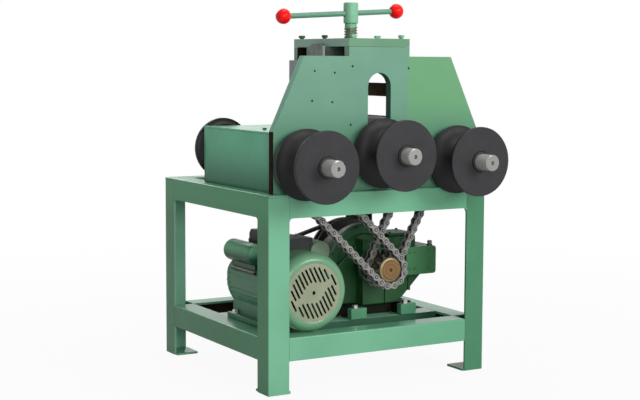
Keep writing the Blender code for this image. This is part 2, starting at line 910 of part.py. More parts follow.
def makeRollSprocket(name, x, planeY, phase):
    """The sprocket on a lower shaft, its hub behind the teeth."""
    sprocket = addOutline(
        name, [toothedOutline(rollTeeth, phase)], toothThick, (x, planeY, rollZ), facingFront
    )
    half = toothThick / 2
    hub = [(0, rollHubLength), (rollHubRadius, rollHubLength), (rollHubRadius, -half / 2), (0, -half / 2)]
    join(sprocket, addTurned(name + "_hub", hub, (x, planeY, rollZ), smallSides))
    middle = (x, planeY + rollHubLength / 2, rollZ)
    cutHole(sprocket, shaftRadius + runGap, middle, 2 * (rollHubLength + toothThick))
    setMaterial(sprocket, "darkSteel")


def makeOutputSprocket():
    """Output shaft and double sprocket: one tooth row for each chain."""
    place = (driverX, leftPlaneY, driverZ)
    shaftEnd = frontY + gearboxFront - leftPlaneY - weldGap - outputCapLength
    rowGap = rightPlaneY - leftPlaneY
    profile = [
        (0, shaftEnd),
        (driverHubRadius, shaftEnd),
        (driverHubRadius, -toothThick / 2 - driverHubProud),
        (centreHoleRadius, -toothThick / 2 - driverHubProud),
        (0, centreHoleDepth - toothThick / 2 - driverHubProud),
    ]
    sprocket = addTurned("output_sprocket", profile, place, smallSides)
    for phase, offset in ((leftPhases["driver"], 0), (rightPhases["driver"], rowGap)):
        row = addOutline(
            "tooth_row",
            [toothedOutline(driverTeeth, phase)],
            toothThick,
            (driverX, leftPlaneY + offset, driverZ),
            facingFront,
        )
        join(sprocket, row)
    setMaterial(sprocket, "brassBrown")


# Carriage and press screw
def makeCarriage():
    """A bridge between front and rear plate: two cheeks with the shaft bore, and a top beam."""
    front = plateBackY + slideGap
    rear = rearPlateFrontY - slideGap
    bottom = middleRollZ - carriageDrop
    top = bottom + carriageHeight
    halfWidth = columnHalfWidth - slideGap
    outline = [
        (front, bottom),
        (front + carriageCheek, bottom),
        (front + carriageCheek, top - carriageTopThick),
        (rear - carriageCheek, top - carriageTopThick),
        (rear - carriageCheek, bottom),
        (rear, bottom),
        (rear, top),
        (front, top),
    ]
    carriage = addOutline("carriage", [outline], 2 * halfWidth, (0, 0, 0), facingSide)
    middle = (0, (front + rear) / 2, middleRollZ)
    cutHole(carriage, shaftRadius + runGap, middle, rear - front + 2 * cutOverrun)
    buttonTop = top - screwButtonDepth + screwButtonThick + runGap
    buttonLow = top - screwButtonDepth - runGap
    neckHalf = screwNeckRadius + runGap
    buttonHalf = screwButtonRadius + runGap
    slotEnd = screwY + buttonHalf
    neckSlot = addBox(
        "neck_slot",
        (-halfWidth - cutOverrun, screwY - neckHalf, buttonTop - cutOverrun),
        (neckHalf, screwY + neckHalf, top + cutOverrun),
    )
    cut(carriage, neckSlot)
    buttonSlot = addBox(
        "button_slot",
        (-halfWidth - cutOverrun, screwY - buttonHalf, buttonLow),
        (buttonHalf, slotEnd, buttonTop),
    )
    cut(carriage, buttonSlot)
    setMaterial(carriage, "darkSteel")
    return top


def makePressScrew(carriageTop):
    """The screw with its button end, held in the carriage's tee slot, and its collar."""
    origin = (0, screwY, carriageTop)
    collarBase = topPlateZ + screwCollarRise - carriageTop
    collarTop = collarBase + screwCollarHeight
    buttonBase = -screwButtonDepth
    buttonTop = buttonBase + screwButtonThick
    profile = [
        (0, collarTop + hubPegHeight),
        (hubPegRadius, collarTop + hubPegHeight),
        (hubPegRadius, collarTop),
        (screwCollarRadius, collarTop),
        (screwCollarRadius, collarBase),
        (screwRadius, collarBase),
        (screwRadius, runGap),
        (screwNeckRadius, runGap),
        (screwNeckRadius, buttonTop),
        (screwButtonRadius, buttonTop),
        (screwButtonRadius, buttonBase),
        (0, buttonBase),
    ]
    hubBase = collarTop + weldGap
    screw = addTurned("press_screw", profile, origin, shaftSides, alongY=False)
    smooth(screw)
    setMaterial(screw, "darkSteel")
    return origin, hubBase


def makeHandle(origin, hubBase):
    """Hub with a cross hole, the tommy bar that slides in it, and the bar's two balls."""
    x, y, z = origin
    hubZ = z + hubBase
    pocket = hubPegRadius + weldGap
    profile = [
        (0, hubHeight),
        (hubRadius - hubFlare, hubHeight),
        (hubRadius, hubHeight - hubFlare),
        (hubRadius, hubFlare),
        (hubRadius - hubFlare, 0),
        (pocket, 0),
        (pocket, hubPegHeight),
        (0, hubPegHeight),
    ]
    hub = addTurned("screw_hub", profile, (x, y, hubZ), shaftSides, alongY=False)
    tilt = radians(barTilt)
    turn = (0, pi / 2 - tilt, 0)
    barZ = hubZ + barHubHeight
    boreHalf = 2 * hubRadius
    boreRadius = barRadius + runGap
    bore = [(0, boreHalf), (boreRadius, boreHalf), (boreRadius, -boreHalf), (0, -boreHalf)]
    cutter = addTurned("bar_bore", bore, (x, y, barZ), smallSides, alongY=False)
    cutter.rotation_euler = turn
    cut(hub, cutter)
    smooth(hub)
    setMaterial(hub, "greenPaint")
    low = -barLeftArm - ballRadius + ballSeat
    high = barRightArm + ballRadius - ballSeat
    rod = [(0, high), (barRadius, high), (barRadius, low), (0, low)]
    bar = addTurned("tommy_bar", rod, (x, y, barZ), smallSides, alongY=False)
    bar.rotation_euler = turn
    smooth(bar)
    setMaterial(bar, "brightSteel")
    along = Vector((cos(tilt), 0, sin(tilt)))
    for word, reach, facing in (("left", -barLeftArm, 1), ("right", barRightArm, -1)):
        centre = Vector((x, y, barZ)) + along * reach
        makeBall(f"ball_{word}", centre, turn, facing)


def makeBall(name, centre, turn, facing):
    """A ball with a blind hole that takes the bar's end."""
    mesh = bpy.data.meshes.new(name)
    shape = bmesh.new()
    bands = smallSides - arcSteps
    bmesh.ops.create_uvsphere(shape, u_segments=smallSides, v_segments=bands, radius=ballRadius)
    shape.to_mesh(mesh)
    shape.free()
    ball = addObject(name, mesh, centre, turn)
    reach = ballRadius - ballSeat + weldGap
    bore = barRadius + weldGap
    outer = ballRadius + cutOverrun
    ends = sorted((-facing * reach, facing * outer), reverse=True)
    profile = [(0, ends[0]), (bore, ends[0]), (bore, ends[1]), (0, ends[1])]
    cutter = addTurned(name + "_bore", profile, centre, smallSides, alongY=False)
    cutter.rotation_euler = turn
    cut(ball, cutter)
    smooth(ball)
    setMaterial(ball, "redPlastic")


# Gearbox
gearboxY = frontY + gearboxFront
gearboxRearY = gearboxY + gearboxDepth
inputX = driverX + inputOffsetX
inputZ = driverZ - inputOffsetZ
driverRise = driverZ - lowerRailTop - weldGap


def makeGearbox():
    """Housing: gear case round the output shaft, block on the right, tapered foot, bearing cap."""
    depth = gearboxDepth
    middleY = gearboxY + depth / 2
    place = (driverX, middleY, driverZ)
    floor = -driverRise
    footTop = floor + bodyFootShare * driverRise
    bodyLow = floor + bodyLiftShare * driverRise
    taperTop = bodyLow + bodyTaperShare * driverRise
    outline = [
        (-bodyTaperLeft, bodyLow),
        (bodyTaperRight, bodyLow),
        (bodyTaperRight + taperTop - bodyLow, taperTop),
        (blockRight - blockBottom, -blockBottom),
        (blockRight, -blockBottom),
        (blockRight, blockTop),
        (0, blockTop),
        (-bodyTaperLeft, 0),
    ]
    housing = addOutline("gearbox_housing", [outline], depth, place, facingFront)
    caseFront = gearboxY + gearCaseStep
    caseDepth = depth - gearCaseStep
    case = [(0, caseDepth), (gearCaseRadius, caseDepth), (gearCaseRadius, 0), (0, 0)]
    join(housing, addTurned("gear_case", case, (driverX, caseFront, driverZ), rollSides))
    capReach = outputCapLength
    cap = [(0, depth / 2), (outputCapRadius, depth / 2), (outputCapRadius, -capReach), (0, -capReach)]
    join(housing, addTurned("output_cap", cap, (driverX, gearboxY, driverZ), shaftSides))
    for side in (-1, 1):
        low = gearFootShift + side * gearFootSpread - gearFootWidth / 2
        foot = addBox(
            "gearbox_foot",
            (low, -gearFootOverhang, floor),
            (low + gearFootWidth, depth + gearFootOverhang, footTop),
            (driverX, gearboxY, driverZ),
        )
        join(housing, foot)
    low = blockTop - towerCorner
    top = addOutline(
        "gearbox_top",
        [roundedBox((towerLeft, low), (towerRight, blockTop + towerHeight), towerCorner)],
        towerDepth,
        (driverX, gearboxY + towerSetback + towerDepth / 2, driverZ),
        facingFront,
    )
    join(housing, top)
    setMaterial(housing, "darkGreenPaint")
    cover = addOutline(
        "gearbox_front_cover",
        [roundedBox((blockLeft, -blockBottom), (blockRight, blockTop), frontCoverCorner)],
        frontCoverThick,
        (driverX, gearboxY - weldGap - frontCoverThick / 2, driverZ),
        facingFront,
    )
    setMaterial(cover, "darkGreenPaint")


# Belt drive and motor
motorX = motorInset - standWidth / 2
motorZ = lowerRailTop + motorHeight
beltY = frontY + beltPlaneY


def pulleyProfile(radius, boss, webbed, front):
    """A V-grooved pulley, from its back face down, with a boss towards the driven machine."""
    half = pulleyWidth / 2
    topHalf = beltTopWidth / 2 + runGap
    floorHalf = beltBottomWidth / 2
    floorRadius = radius - beltHeight - grooveFloorGap
    profile = [(0, half), (boss, half)]
    if webbed:
        web = pulleyWeb / 2
        inner = floorRadius - pulleyRim / 2
        profile += [(boss, web), (inner, web), (inner, half)]
    profile += [
        (radius, half),
        (radius, topHalf),
        (floorRadius, floorHalf),
        (floorRadius, -floorHalf),
        (radius, -topHalf),
        (radius, -half),
    ]
    if webbed:
        profile += [(inner, -half), (inner, -web)]
        profile += [(boss, -web)]
    profile += [(boss, -half)]
    profile += [(motorShaftRadius, -half), (motorShaftRadius, -front), (0, -front)]
    return profile


def makeBigPulley():
    """Input shaft and the large belt pulley in one turning."""
    front = beltY - gearboxRearY - weldGap
    profile = pulleyProfile(bigPulleyRadius, pulleyBoss, True, front)
    pulley = addTurned("input_pulley", profile, (inputX, beltY, inputZ), rollSides)
    smooth(pulley)
    setMaterial(pulley, "blackOxide")


def beltOutline(outer):
    """The belt's outer or inner edge round both pulleys."""
    depth = -beltProud if outer else beltHeight - beltProud
    small = smallPulleyRadius - depth
    large = bigPulleyRadius - depth
    rise = Vector((inputX - motorX, inputZ - motorZ))
    heading = Vector((1, 0)).angle_signed(rise) * -1
    lean = asin((large - small) / rise.length)
    first = heading - pi / 2 - lean
    middle = heading + pi / 2 + lean
    right = arc((inputX, inputZ), large, first, middle, 3 * arcSteps)
    left = arc((motorX, motorZ), small, middle, first + tau, 2 * arcSteps)
    return right + left


def makeBelt():
    """The belt: a trapezoid section lofted round the outer and inner edge."""
    outer = beltOutline(True)
    inner = beltOutline(False)
    mesh = bpy.data.meshes.new("v_belt")
    shape = bmesh.new()
    rings = []
    for (outX, outZ), (inX, inZ) in zip(outer, inner):
        ring = [
            shape.verts.new((outX, -beltTopWidth / 2, outZ)),
            shape.verts.new((outX, beltTopWidth / 2, outZ)),
            shape.verts.new((inX, beltBottomWidth / 2 - runGap, inZ)),
            shape.verts.new((inX, runGap - beltBottomWidth / 2, inZ)),
        ]
        rings.append(ring)
    for ring, following in zip(rings, rings[1:] + rings[:1]):
        for corner in range(4):
            other = (corner + 1) % 4
            shape.faces.new((ring[corner], ring[other], following[other], following[corner]))
    bmesh.ops.recalc_face_normals(shape, faces=shape.faces)
    shape.to_mesh(mesh)
    shape.free()
    belt = addObject("v_belt", mesh, (0, beltY, 0))
    smooth(belt)
    setMaterial(belt, "blackRubber")


def makeMotorBody():
    """Finned body with its rear shield, a front spigot for the fan cover and two foot rails."""
    frontFace = frontY + motorFront
    middleY = frontFace + motorLength / 2
    points = []
    for fin in range(finCount):
        start = tau * fin / finCount
        width = tau / finCount * finShare
        inner = motorBodyRadius
        outer = motorBodyRadius + finHeight
        for angle, radius in ((0, inner), (0, outer), (width, outer), (width, inner)):
            points.append((radius * cos(start + angle), radius * sin(start + angle)))
    body = addOutline("motor_body", [points], motorLength, (motorX, middleY, motorZ), facingFront)
    base = -motorHeight + weldGap
    for side in (-1, 1):
        middleX = side * motorFootSpread
        foot = addBox(
            "motor_foot",
            (middleX - motorFootWidth / 2, -motorLength / 2, base),
            (middleX + motorFootWidth / 2, motorLength / 2, base + motorFootThick),
            (motorX, middleY, motorZ),
        )
        join(body, foot)
        rib = sorted((side * motorFootSpread, side * (motorFootSpread - motorFootThick)))
        web = addBox(
            "motor_foot_web",
            (rib[0], -motorLength / 2, base + motorFootThick / 2),
            (rib[1], motorLength / 2, -motorFootWidth),
            (motorX, middleY, motorZ),
        )
        join(body, web)
    shieldFace = motorLength / 2 + motorShieldLength
    shieldRadius = motorBodyRadius - motorShieldStep
    shield = [
        (0, shieldFace),
        (motorBodyRadius / 2, shieldFace),
        (shieldRadius, motorLength / 2 + motorShieldStep),
        (shieldRadius, 0),
        (0, 0),
    ]
    join(body, addTurned("motor_shield", shield, (motorX, middleY, motorZ), rollSides))
    spigotRadius = fanCoverRadius - fanCoverWall - weldGap
    spigot = [
        (0, motorSpigotLength),
        (motorBodyRadius / 2, motorSpigotLength),
        (motorBodyRadius / 2, 0),
        (spigotRadius, 0),
        (spigotRadius, -motorSpigotLength),
        (0, -motorSpigotLength),
    ]
    join(body, addTurned("motor_spigot", spigot, (motorX, frontFace, motorZ), rollSides))
    bore = motorShaftRadius + runGap
    cutHole(body, bore, (motorX, middleY, motorZ), 2 * motorLength)
    for place, length in capacitors.values():
        cradle = (place[0], place[1] + length / 2, place[2])
        cutHole(body, capacitorRadius + weldGap, cradle, length + 2 * weldGap)
    setMaterial(body, "greenPaint")


def makeFanCover():
    """A dished sheet cap with two bands of slanted slots and a centre hole."""
    depth = fanCoverDepth
    rim = fanCoverRadius
    wall = fanCoverWall
    face = fanFaceRadius
    place = (motorX, frontY + fanCoverFront, motorZ)
    hole = fanHubHoleRadius
    outer = [(rim, depth), (rim, fanCoverDome)]
    outer += [
        (face + (rim - face) * cos(a), fanCoverDome - fanCoverDome * sin(a))
        for a in (pi / 6, pi / 3, pi / 2)
    ]
    inner = [(r - wall * (1 if r > face else 0), z + wall) for r, z in reversed(outer[1:])]
    inner[-1] = (rim - wall, fanCoverDome + wall)
    inner.append((rim - wall, depth))
    profile = outer + [(hole, 0), (hole, wall)] + inner
    cover = addTurned("fan_cover", profile, place, rollSides)
    smooth(cover)
    slits = bmesh.new()
    lean = Matrix.Rotation(-radians(slotSlant), 4, "Y")
    last = len(slotStartShares) - 1
    spans = []
    for column, share in enumerate(slotStartShares):
        offset = (column - last / 2) * slotPitch
        spans.append((offset, share * slotReach, sqrt(slotReach ** 2 - offset ** 2)))
    spans.append(((last / 2 + 1) * slotPitch, -edgeSlotHalfLength, edgeSlotHalfLength))
    for offset, start, end in spans:
        for band in (-1, 1):
            slot = lean @ Matrix.Translation((band * offset, 0, band * (start + end) / 2))
            size = Matrix.Diagonal((slotSlitWidth, 4 * wall, end - start, 1))
            bmesh.ops.create_cube(slits, size=1, matrix=slot @ size)
    mesh = bpy.data.meshes.new("fan_slots")
    slits.to_mesh(mesh)
    slits.free()
    cut(cover, addObject("fan_slots", mesh, place))
    setMaterial(cover, "paleGreenPaint")


def makeRotor():
    """Rotor shaft, cooling fan and small belt pulley."""
    shaftFront = frontY + motorShaftFront
    profile = [
        (0, motorShaftLength),
        (motorShaftRadius, motorShaftLength),
        (motorShaftRadius, 0),
        (0, 0),
    ]
    shaft = addTurned("rotor_shaft", profile, (motorX, shaftFront, motorZ), smallSides)
    smooth(shaft)
    setMaterial(shaft, "brightSteel")
    bore = motorShaftRadius + weldGap
    fanY = frontY + fanCoverFront + fanSetback
    place = (motorX, fanY + fanHubLength / 2, motorZ)
    half = fanHubLength / 2
    hub = [(fanHubRadius, half), (fanHubRadius, -half), (bore, -half), (bore, half)]
    fan = addTurned("cooling_fan", hub, place, smallSides)
    for blade in range(fanBladeCount):
        vane = addBox(
            "fan_blade",
            (fanHubRadius - fanBladeThick, -fanBladeLength / 2, -fanBladeThick / 2),
            (fanRadius, fanBladeLength / 2, fanBladeThick / 2),
            place,
        )
        vane.rotation_euler = (0, tau * blade / fanBladeCount, 0)
        join(fan, vane)
    setMaterial(fan, "blackPlastic")
    half = pulleyWidth / 2
    full = pulleyProfile(smallPulleyRadius, smallPulleyRadius / 2, False, half)
    groove = [point for point in full[2:8]]
    ring = groove + [(bore, -half), (bore, half)]
    pulley = addTurned("motor_pulley", ring, (motorX, beltY, motorZ), shaftSides)
    smooth(pulley)
    setMaterial(pulley, "darkSteel")


def capacitorPlace(side, rise, start):
    return (motorX + side * capacitorOffsetX, frontY + motorFront + start, motorZ + rise)


capacitors = {
    "left": (capacitorPlace(-1, leftCapacitorRise, leftCapacitorStart), leftCapacitorLength),
    "right": (capacitorPlace(1, rightCapacitorRise, rightCapacitorStart), rightCapacitorLength),
}


def makeCapacitors():
    """Two round capacitor covers, each in a cradle along the top of the body."""
    step = capacitorRound
    for word, (place, length) in capacitors.items():
        profile = [
            (0, length),
            (capacitorRadius - step, length),
            (capacitorRadius, length - step),
            (capacitorRadius, step),
            (capacitorRadius - step, 0),
            (0, 0),
        ]
        cover = addTurned(f"capacitor_cover_{word}", profile, place, shaftSides)
        smooth(cover)
        setMaterial(cover, "greyIron")


def makeTerminalBox():
    """Black box between the capacitor covers: a neck, a low lid in front and a higher rear part."""
    front = frontY + motorFront + runGap
    seat = motorBodyRadius + finHeight + weldGap
    neck = addBox(
        "terminal_box",
        (-terminalNeck / 2, 0, seat),
        (terminalNeck / 2, terminalLength, terminalShoulder),
        (motorX, front, motorZ),
    )
    lid = addBox(
        "terminal_lid",
        (-lidWidth / 2, 0, terminalShoulder - cutOverrun),
        (lidWidth / 2, lidLength, lidTop),
        (motorX, front, motorZ),
    )
    join(neck, lid)
    start = terminalLength - terminalRearLength
    corner = terminalRearCorner
    outline = [
        (start, terminalShoulder - cutOverrun),
        (terminalLength - cutOverrun, terminalShoulder - cutOverrun),
        (terminalLength - cutOverrun, terminalRearTop - corner),
        (terminalLength - corner, terminalRearTop),
        (start, terminalRearTop),
    ]
    rear = addOutline(
        "terminal_rear", [outline], terminalNeck - cutOverrun, (motorX, front, motorZ), facingSide
    )
    join(neck, rear)
    setMaterial(neck, "blackPlastic")


makeStand()
makeFrontPlate()
makeRearPlate()
makeSidePlate("side_plate_left", -1)
makeSidePlate("side_plate_right", 1)
makeTopPlate()
makeNutBlock()
makeBox()
for sideSign, sideWord in ((-1, "left"), (1, "right")):
    makeBearing(f"front_bearing_{sideWord}", sideSign, True)
    makeBearing(f"rear_bearing_{sideWord}", sideSign, False)

lowerShaftLength = columnRearY + shaftTail - shaftFrontY
makeRollSet("left", -rollSpread, rollZ, rollMidY - shaftFrontY, lowerShaftLength)
makeRollSet("right", rollSpread, rollZ, rollMidY - shaftFrontY, lowerShaftLength)
middleFrontY = frontY - middleShaftReach
middleEnd = rearPlateFrontY - 2 * slideGap
makeRollSet("middle", 0, middleRollZ, rollMidY - middleFrontY, middleEnd - middleFrontY)
spareSizes = (spareRadius, spareRim, spareGroove)
makeRollHalf("rear_half_roll", (-rollSpread, spareFaceY, spareZ), True, False, spareSizes)
makeRollSprocket("left_sprocket", -rollSpread, leftPlaneY, leftPhases["roll"])
makeRollSprocket("right_sprocket", rollSpread, rightPlaneY, rightPhases["roll"])
makeOutputSprocket()
makeChain("left_chain", leftPins, leftPlaneY)
makeChain("right_chain", rightPins, rightPlaneY)
screwOrigin, screwHubBase = makePressScrew(makeCarriage())
makeHandle(screwOrigin, screwHubBase)
makeGearbox()
makeBigPulley()
makeBelt()
makeMotorBody()
makeFanCover()
makeRotor()
makeCapacitors()
makeTerminalBox()
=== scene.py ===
# Ring roller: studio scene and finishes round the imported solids
import json
from math import asin, cos, pi, radians, sin, sqrt, tau

import bmesh
import bpy
from mathutils import Matrix, Vector

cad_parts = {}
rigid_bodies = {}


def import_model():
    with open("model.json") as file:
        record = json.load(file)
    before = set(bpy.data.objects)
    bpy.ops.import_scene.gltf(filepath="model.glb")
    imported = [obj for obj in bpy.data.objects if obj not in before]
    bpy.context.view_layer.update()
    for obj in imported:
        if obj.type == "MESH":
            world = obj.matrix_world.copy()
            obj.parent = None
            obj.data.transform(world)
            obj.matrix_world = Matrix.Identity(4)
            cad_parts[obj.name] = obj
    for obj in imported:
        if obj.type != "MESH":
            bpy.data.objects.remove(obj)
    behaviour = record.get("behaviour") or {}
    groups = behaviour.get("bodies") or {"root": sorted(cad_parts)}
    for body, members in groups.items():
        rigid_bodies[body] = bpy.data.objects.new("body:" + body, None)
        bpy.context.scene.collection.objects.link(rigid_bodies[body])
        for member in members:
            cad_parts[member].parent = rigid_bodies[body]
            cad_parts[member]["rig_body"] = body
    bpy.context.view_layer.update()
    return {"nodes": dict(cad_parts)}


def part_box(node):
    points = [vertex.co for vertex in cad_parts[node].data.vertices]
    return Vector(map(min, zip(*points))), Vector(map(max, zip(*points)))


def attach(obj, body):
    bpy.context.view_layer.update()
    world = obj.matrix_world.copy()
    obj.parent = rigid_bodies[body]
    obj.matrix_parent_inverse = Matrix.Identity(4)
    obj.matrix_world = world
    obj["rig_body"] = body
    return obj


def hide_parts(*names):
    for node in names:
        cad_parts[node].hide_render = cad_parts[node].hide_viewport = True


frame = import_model()
scene = bpy.context.scene
scene.view_settings.view_transform = "Standard"
mm = 0.001
print("frame loaded:", len(frame["nodes"]), "solids")


def addObject(name, data):
    obj = bpy.data.objects.new(name, data)
    scene.collection.objects.link(obj)
    return obj


def meshFrom(shape, name):
    # turns a bmesh into a mesh and frees it
    mesh = bpy.data.meshes.new(name)
    shape.to_mesh(mesh)
    shape.free()
    return mesh


# the camera's place, fitted to the edges of the stand and the rolls
cameraLook = {
    "place": (-1.60679, -2.7313, 0.70224),
    "yaw": 0.5375,
    "pitch": -0.0971,
    "roll": 0.0058,
    "lens": 78.06,
    "sensor": 36,
    "shift": (-0.0376, -0.0054),
    "clipEnd": 100,
}


def makeCamera(look):
    yaw, pitch, roll = look["yaw"], look["pitch"], look["roll"]
    ahead = Vector((sin(yaw) * cos(pitch), cos(yaw) * cos(pitch), sin(pitch)))
    level = Vector((cos(yaw), -sin(yaw), 0))
    upright = level.cross(ahead)
    right = level * cos(roll) + upright * sin(roll)
    up = upright * cos(roll) - level * sin(roll)
    data = bpy.data.cameras.new("camera")
    data.lens, data.sensor_width, data.clip_end = look["lens"], look["sensor"], look["clipEnd"]
    data.shift_x, data.shift_y = look["shift"]
    scene.camera = addObject("camera", data)
    turn = Matrix((right, up, -ahead)).transposed().to_4x4()
    scene.camera.matrix_world = Matrix.Translation(look["place"]) @ turn


makeCamera(cameraLook)


# node helpers
def linearColour(hexCode):
    channels = [int(hexCode[i:i + 2], 16) / 255 for i in (0, 2, 4)]
    return (*[c / 12.92 if c <= 0.04045 else ((c + 0.055) / 1.055) ** 2.4 for c in channels], 1)


def setInputs(node, inputs):
    # a socket is linked, a hex code becomes a linear colour, anything else is set as it is
    for key, value in inputs.items():
        if isinstance(value, bpy.types.NodeSocket):
            node.id_data.links.new(value, node.inputs[key])
        elif isinstance(value, str):
            node.inputs[key].default_value = linearColour(value)
        else:
            node.inputs[key].default_value = value


def addNode(tree, kind, settings=None, inputs=None):
    node = tree.nodes.new("ShaderNode" + kind)
    for key, value in (settings or {}).items():
        setattr(node, key, value)
    setInputs(node, inputs or {})
    return node


def startMaterial(name, look):
    material = bpy.data.materials.new(name)
    material.use_nodes = True
    tree = material.node_tree
    shader = tree.nodes["Principled BSDF"]
    setInputs(shader, {"Roughness": look["roughness"], "Metallic": look.get("metallic", 0.0)})
    if "ior" in look:
        setInputs(shader, {"IOR": look["ior"]})
    return material, tree, shader, addNode(tree, "TexCoord").outputs["Object"]


def noiseShare(tree, where, size, low, high, detail=3.0):
    # a noise whose blotches are about size metres across, stretched to 0..1 between two levels
    inputs = {"Vector": where, "Scale": 1 / size, "Detail": detail}
    noise = addNode(tree, "TexNoise", None, inputs).outputs["Fac"]
    limits = {"Value": noise, "From Min": low, "From Max": high}
    return addNode(tree, "MapRange", None, limits).outputs["Result"]


# lights, floor and background
studio = {
    "ambient": 0.2,
    "aim": (0, 0, 0.4),
    "key": {"place": (1.6, -3.5, 1.9), "size": 1.8, "power": 78},
    "top": {"place": (0.3, -0.2, 3.4), "size": 2.4, "power": 45},
    "fill": {"place": (-0.9, -3.3, 1.1), "size": 1.6, "power": 40},
    "rear": {"place": (0.3, 3.6, 2.3), "size": 2.2, "power": 50},
    "floor": {"hex": "B4B5B4", "roughness": 0.75, "ior": 1.3},
    "floorHalf": 30.0,
    "fadeStart": 0.5,
    "fadeEnd": 2.4,
    "nearGlow": 0.94,
}
white = (1, 1, 1, 1)


def seenDirectly(tree):
    # 1 for what the camera, a reflection or a glass sees, 0 for what lights the object
    path = addNode(tree, "LightPath")
    seen = path.outputs["Is Camera Ray"]
    for ray in ("Is Glossy Ray", "Is Transmission Ray"):
        inputs = {0: seen, 1: path.outputs[ray]}
        seen = addNode(tree, "Math", {"operation": "MAXIMUM"}, inputs).outputs[0]
    return seen


def makeWorld(look):
    scene.world = bpy.data.worlds.new("studio")
    scene.world.use_nodes = True
    tree = scene.world.node_tree
    limits = {"Value": seenDirectly(tree), "To Min": look["ambient"], "To Max": 1.0}
    strength = addNode(tree, "MapRange", None, limits).outputs["Result"]
    setInputs(tree.nodes["Background"], {"Color": white, "Strength": strength})


def makeLamp(name, look, aim):
    data = bpy.data.lights.new(name, "AREA")
    data.shape, data.size, data.energy = "DISK", look["size"], look["power"]
    heading = Vector(aim) - Vector(look["place"])
    turn = heading.to_track_quat("-Z", "Y").to_matrix().to_4x4()
    addObject(name, data).matrix_world = Matrix.Translation(look["place"]) @ turn


def makeFloor(look):
    shape = bmesh.new()
    bmesh.ops.create_grid(shape, x_segments=1, y_segments=1, size=look["floorHalf"])
    floor = addObject("floor", meshFrom(shape, "floor"))
    # matt painted studio floor: pale near the object, fading to plain white further out
    material, tree, shader, where = startMaterial("paintedFloor", look["floor"])
    setInputs(shader, {"Base Color": look["floor"]["hex"]})
    away = addNode(tree, "VectorMath", {"operation": "LENGTH"}, {0: where}).outputs["Value"]
    limits = {"Value": away, "From Min": look["fadeStart"], "From Max": look["fadeEnd"],
              "To Min": look["nearGlow"]}
    fade = addNode(tree, "MapRange", None, limits).outputs["Result"]
    inputs = {0: fade, 1: seenDirectly(tree)}
    share = addNode(tree, "Math", {"operation": "MULTIPLY"}, inputs).outputs[0]
    glow = addNode(tree, "Emission", None, {"Color": white, "Strength": 1.0}).outputs[0]
    blend = addNode(tree, "MixShader", None, {0: share, 1: shader.outputs[0], 2: glow}).outputs[0]
    setInputs(tree.nodes["Material Output"], {"Surface": blend})
    floor.data.materials.append(material)


makeWorld(studio)
for name in ("key", "top", "fill", "rear"):
    makeLamp(name, studio[name], studio["aim"])
makeFloor(studio)
print("camera and studio made")


# materials: each takes two tones, the second where its blotches lie
colourMix = {"data_type": "RGBA"}


def dressShader(tree, shader, look, colour, gloss, grain):
    # the colour, a roughness that follows the gloss pattern, and the grain raised a little
    inputs = {"Base Color": colour}
    if gloss is not None:
        low, high = look["glossSpread"]
        limits = {"Value": gloss, "To Min": look["roughness"] + low, "To Max": look["roughness"] + high}
        inputs["Roughness"] = addNode(tree, "MapRange", None, limits).outputs["Result"]
    if look["bump"]:
        height = {"Height": grain, "Strength": look["bump"], "Distance": look["depth"]}
        inputs["Normal"] = addNode(tree, "Bump", None, height).outputs["Normal"]
    setInputs(shader, inputs)


enamelLook = {
    "roughness": 0.2, "ior": 1.3, "patch": 110 * mm, "chip": 5 * mm, "chipPatch": 90 * mm,
    "primerHex": "6E7672", "glossPatch": 45 * mm, "glossSpread": (-0.05, 0.08),
    "peel": 3.2 * mm, "bump": 0.05, "depth": 0.08 * mm,
}


def sprayedEnamel(name, look):
    # air-dried machine enamel on mild steel: smooth and half glossy, with a slight orange peel,
    # a slow drift in tone and a few small chips down to the grey primer
    look = {**enamelLook, **look}
    material, tree, shader, where = startMaterial(name, look)
    drift = noiseShare(tree, where, look["patch"], 0.35, 0.7, 2.0)
    tone = addNode(tree, "Mix", colourMix, {0: drift, 6: look["tone"], 7: look["deep"]}).outputs[2]
    # another tone from one place to another, in millimetres; mostly painted shade and painted light that
    # follow how the light falls, on the head plates also a second tone of paint
    for axis, start, end, hexCode in look.get("drifts", ()):
        place = addNode(tree, "SeparateXYZ", None, {0: where}).outputs[axis]
        limits = {"Value": place, "From Min": start * mm, "From Max": end * mm}
        share = addNode(tree, "MapRange", {"interpolation_type": "SMOOTHSTEP"}, limits).outputs["Result"]
        tone = addNode(tree, "Mix", colourMix, {0: share, 6: tone, 7: hexCode}).outputs[2]
    chipPlace = noiseShare(tree, where, look["chipPatch"], 0.62, 0.7, 1.0)
    chipShape = noiseShare(tree, where, look["chip"], 0.69, 0.71, 5.0)
    inputs = {0: chipPlace, 1: chipShape}
    chips = addNode(tree, "Math", {"operation": "MULTIPLY"}, inputs).outputs[0]
    colour = addNode(tree, "Mix", colourMix, {0: chips, 6: tone, 7: look["primerHex"]}).outputs[2]
    gloss = noiseShare(tree, where, look["glossPatch"], 0.3, 0.75)
    peel = noiseShare(tree, where, look["peel"], 0.2, 0.8, 1.0)
    dressShader(tree, shader, look, colour, gloss, peel)
    return material


turnedLook = {
    "patch": 28 * mm, "glossSpread": (-0.07, 0.1), "waveShare": 0.314, "depth": 0.05 * mm, "axis": "Y",
}


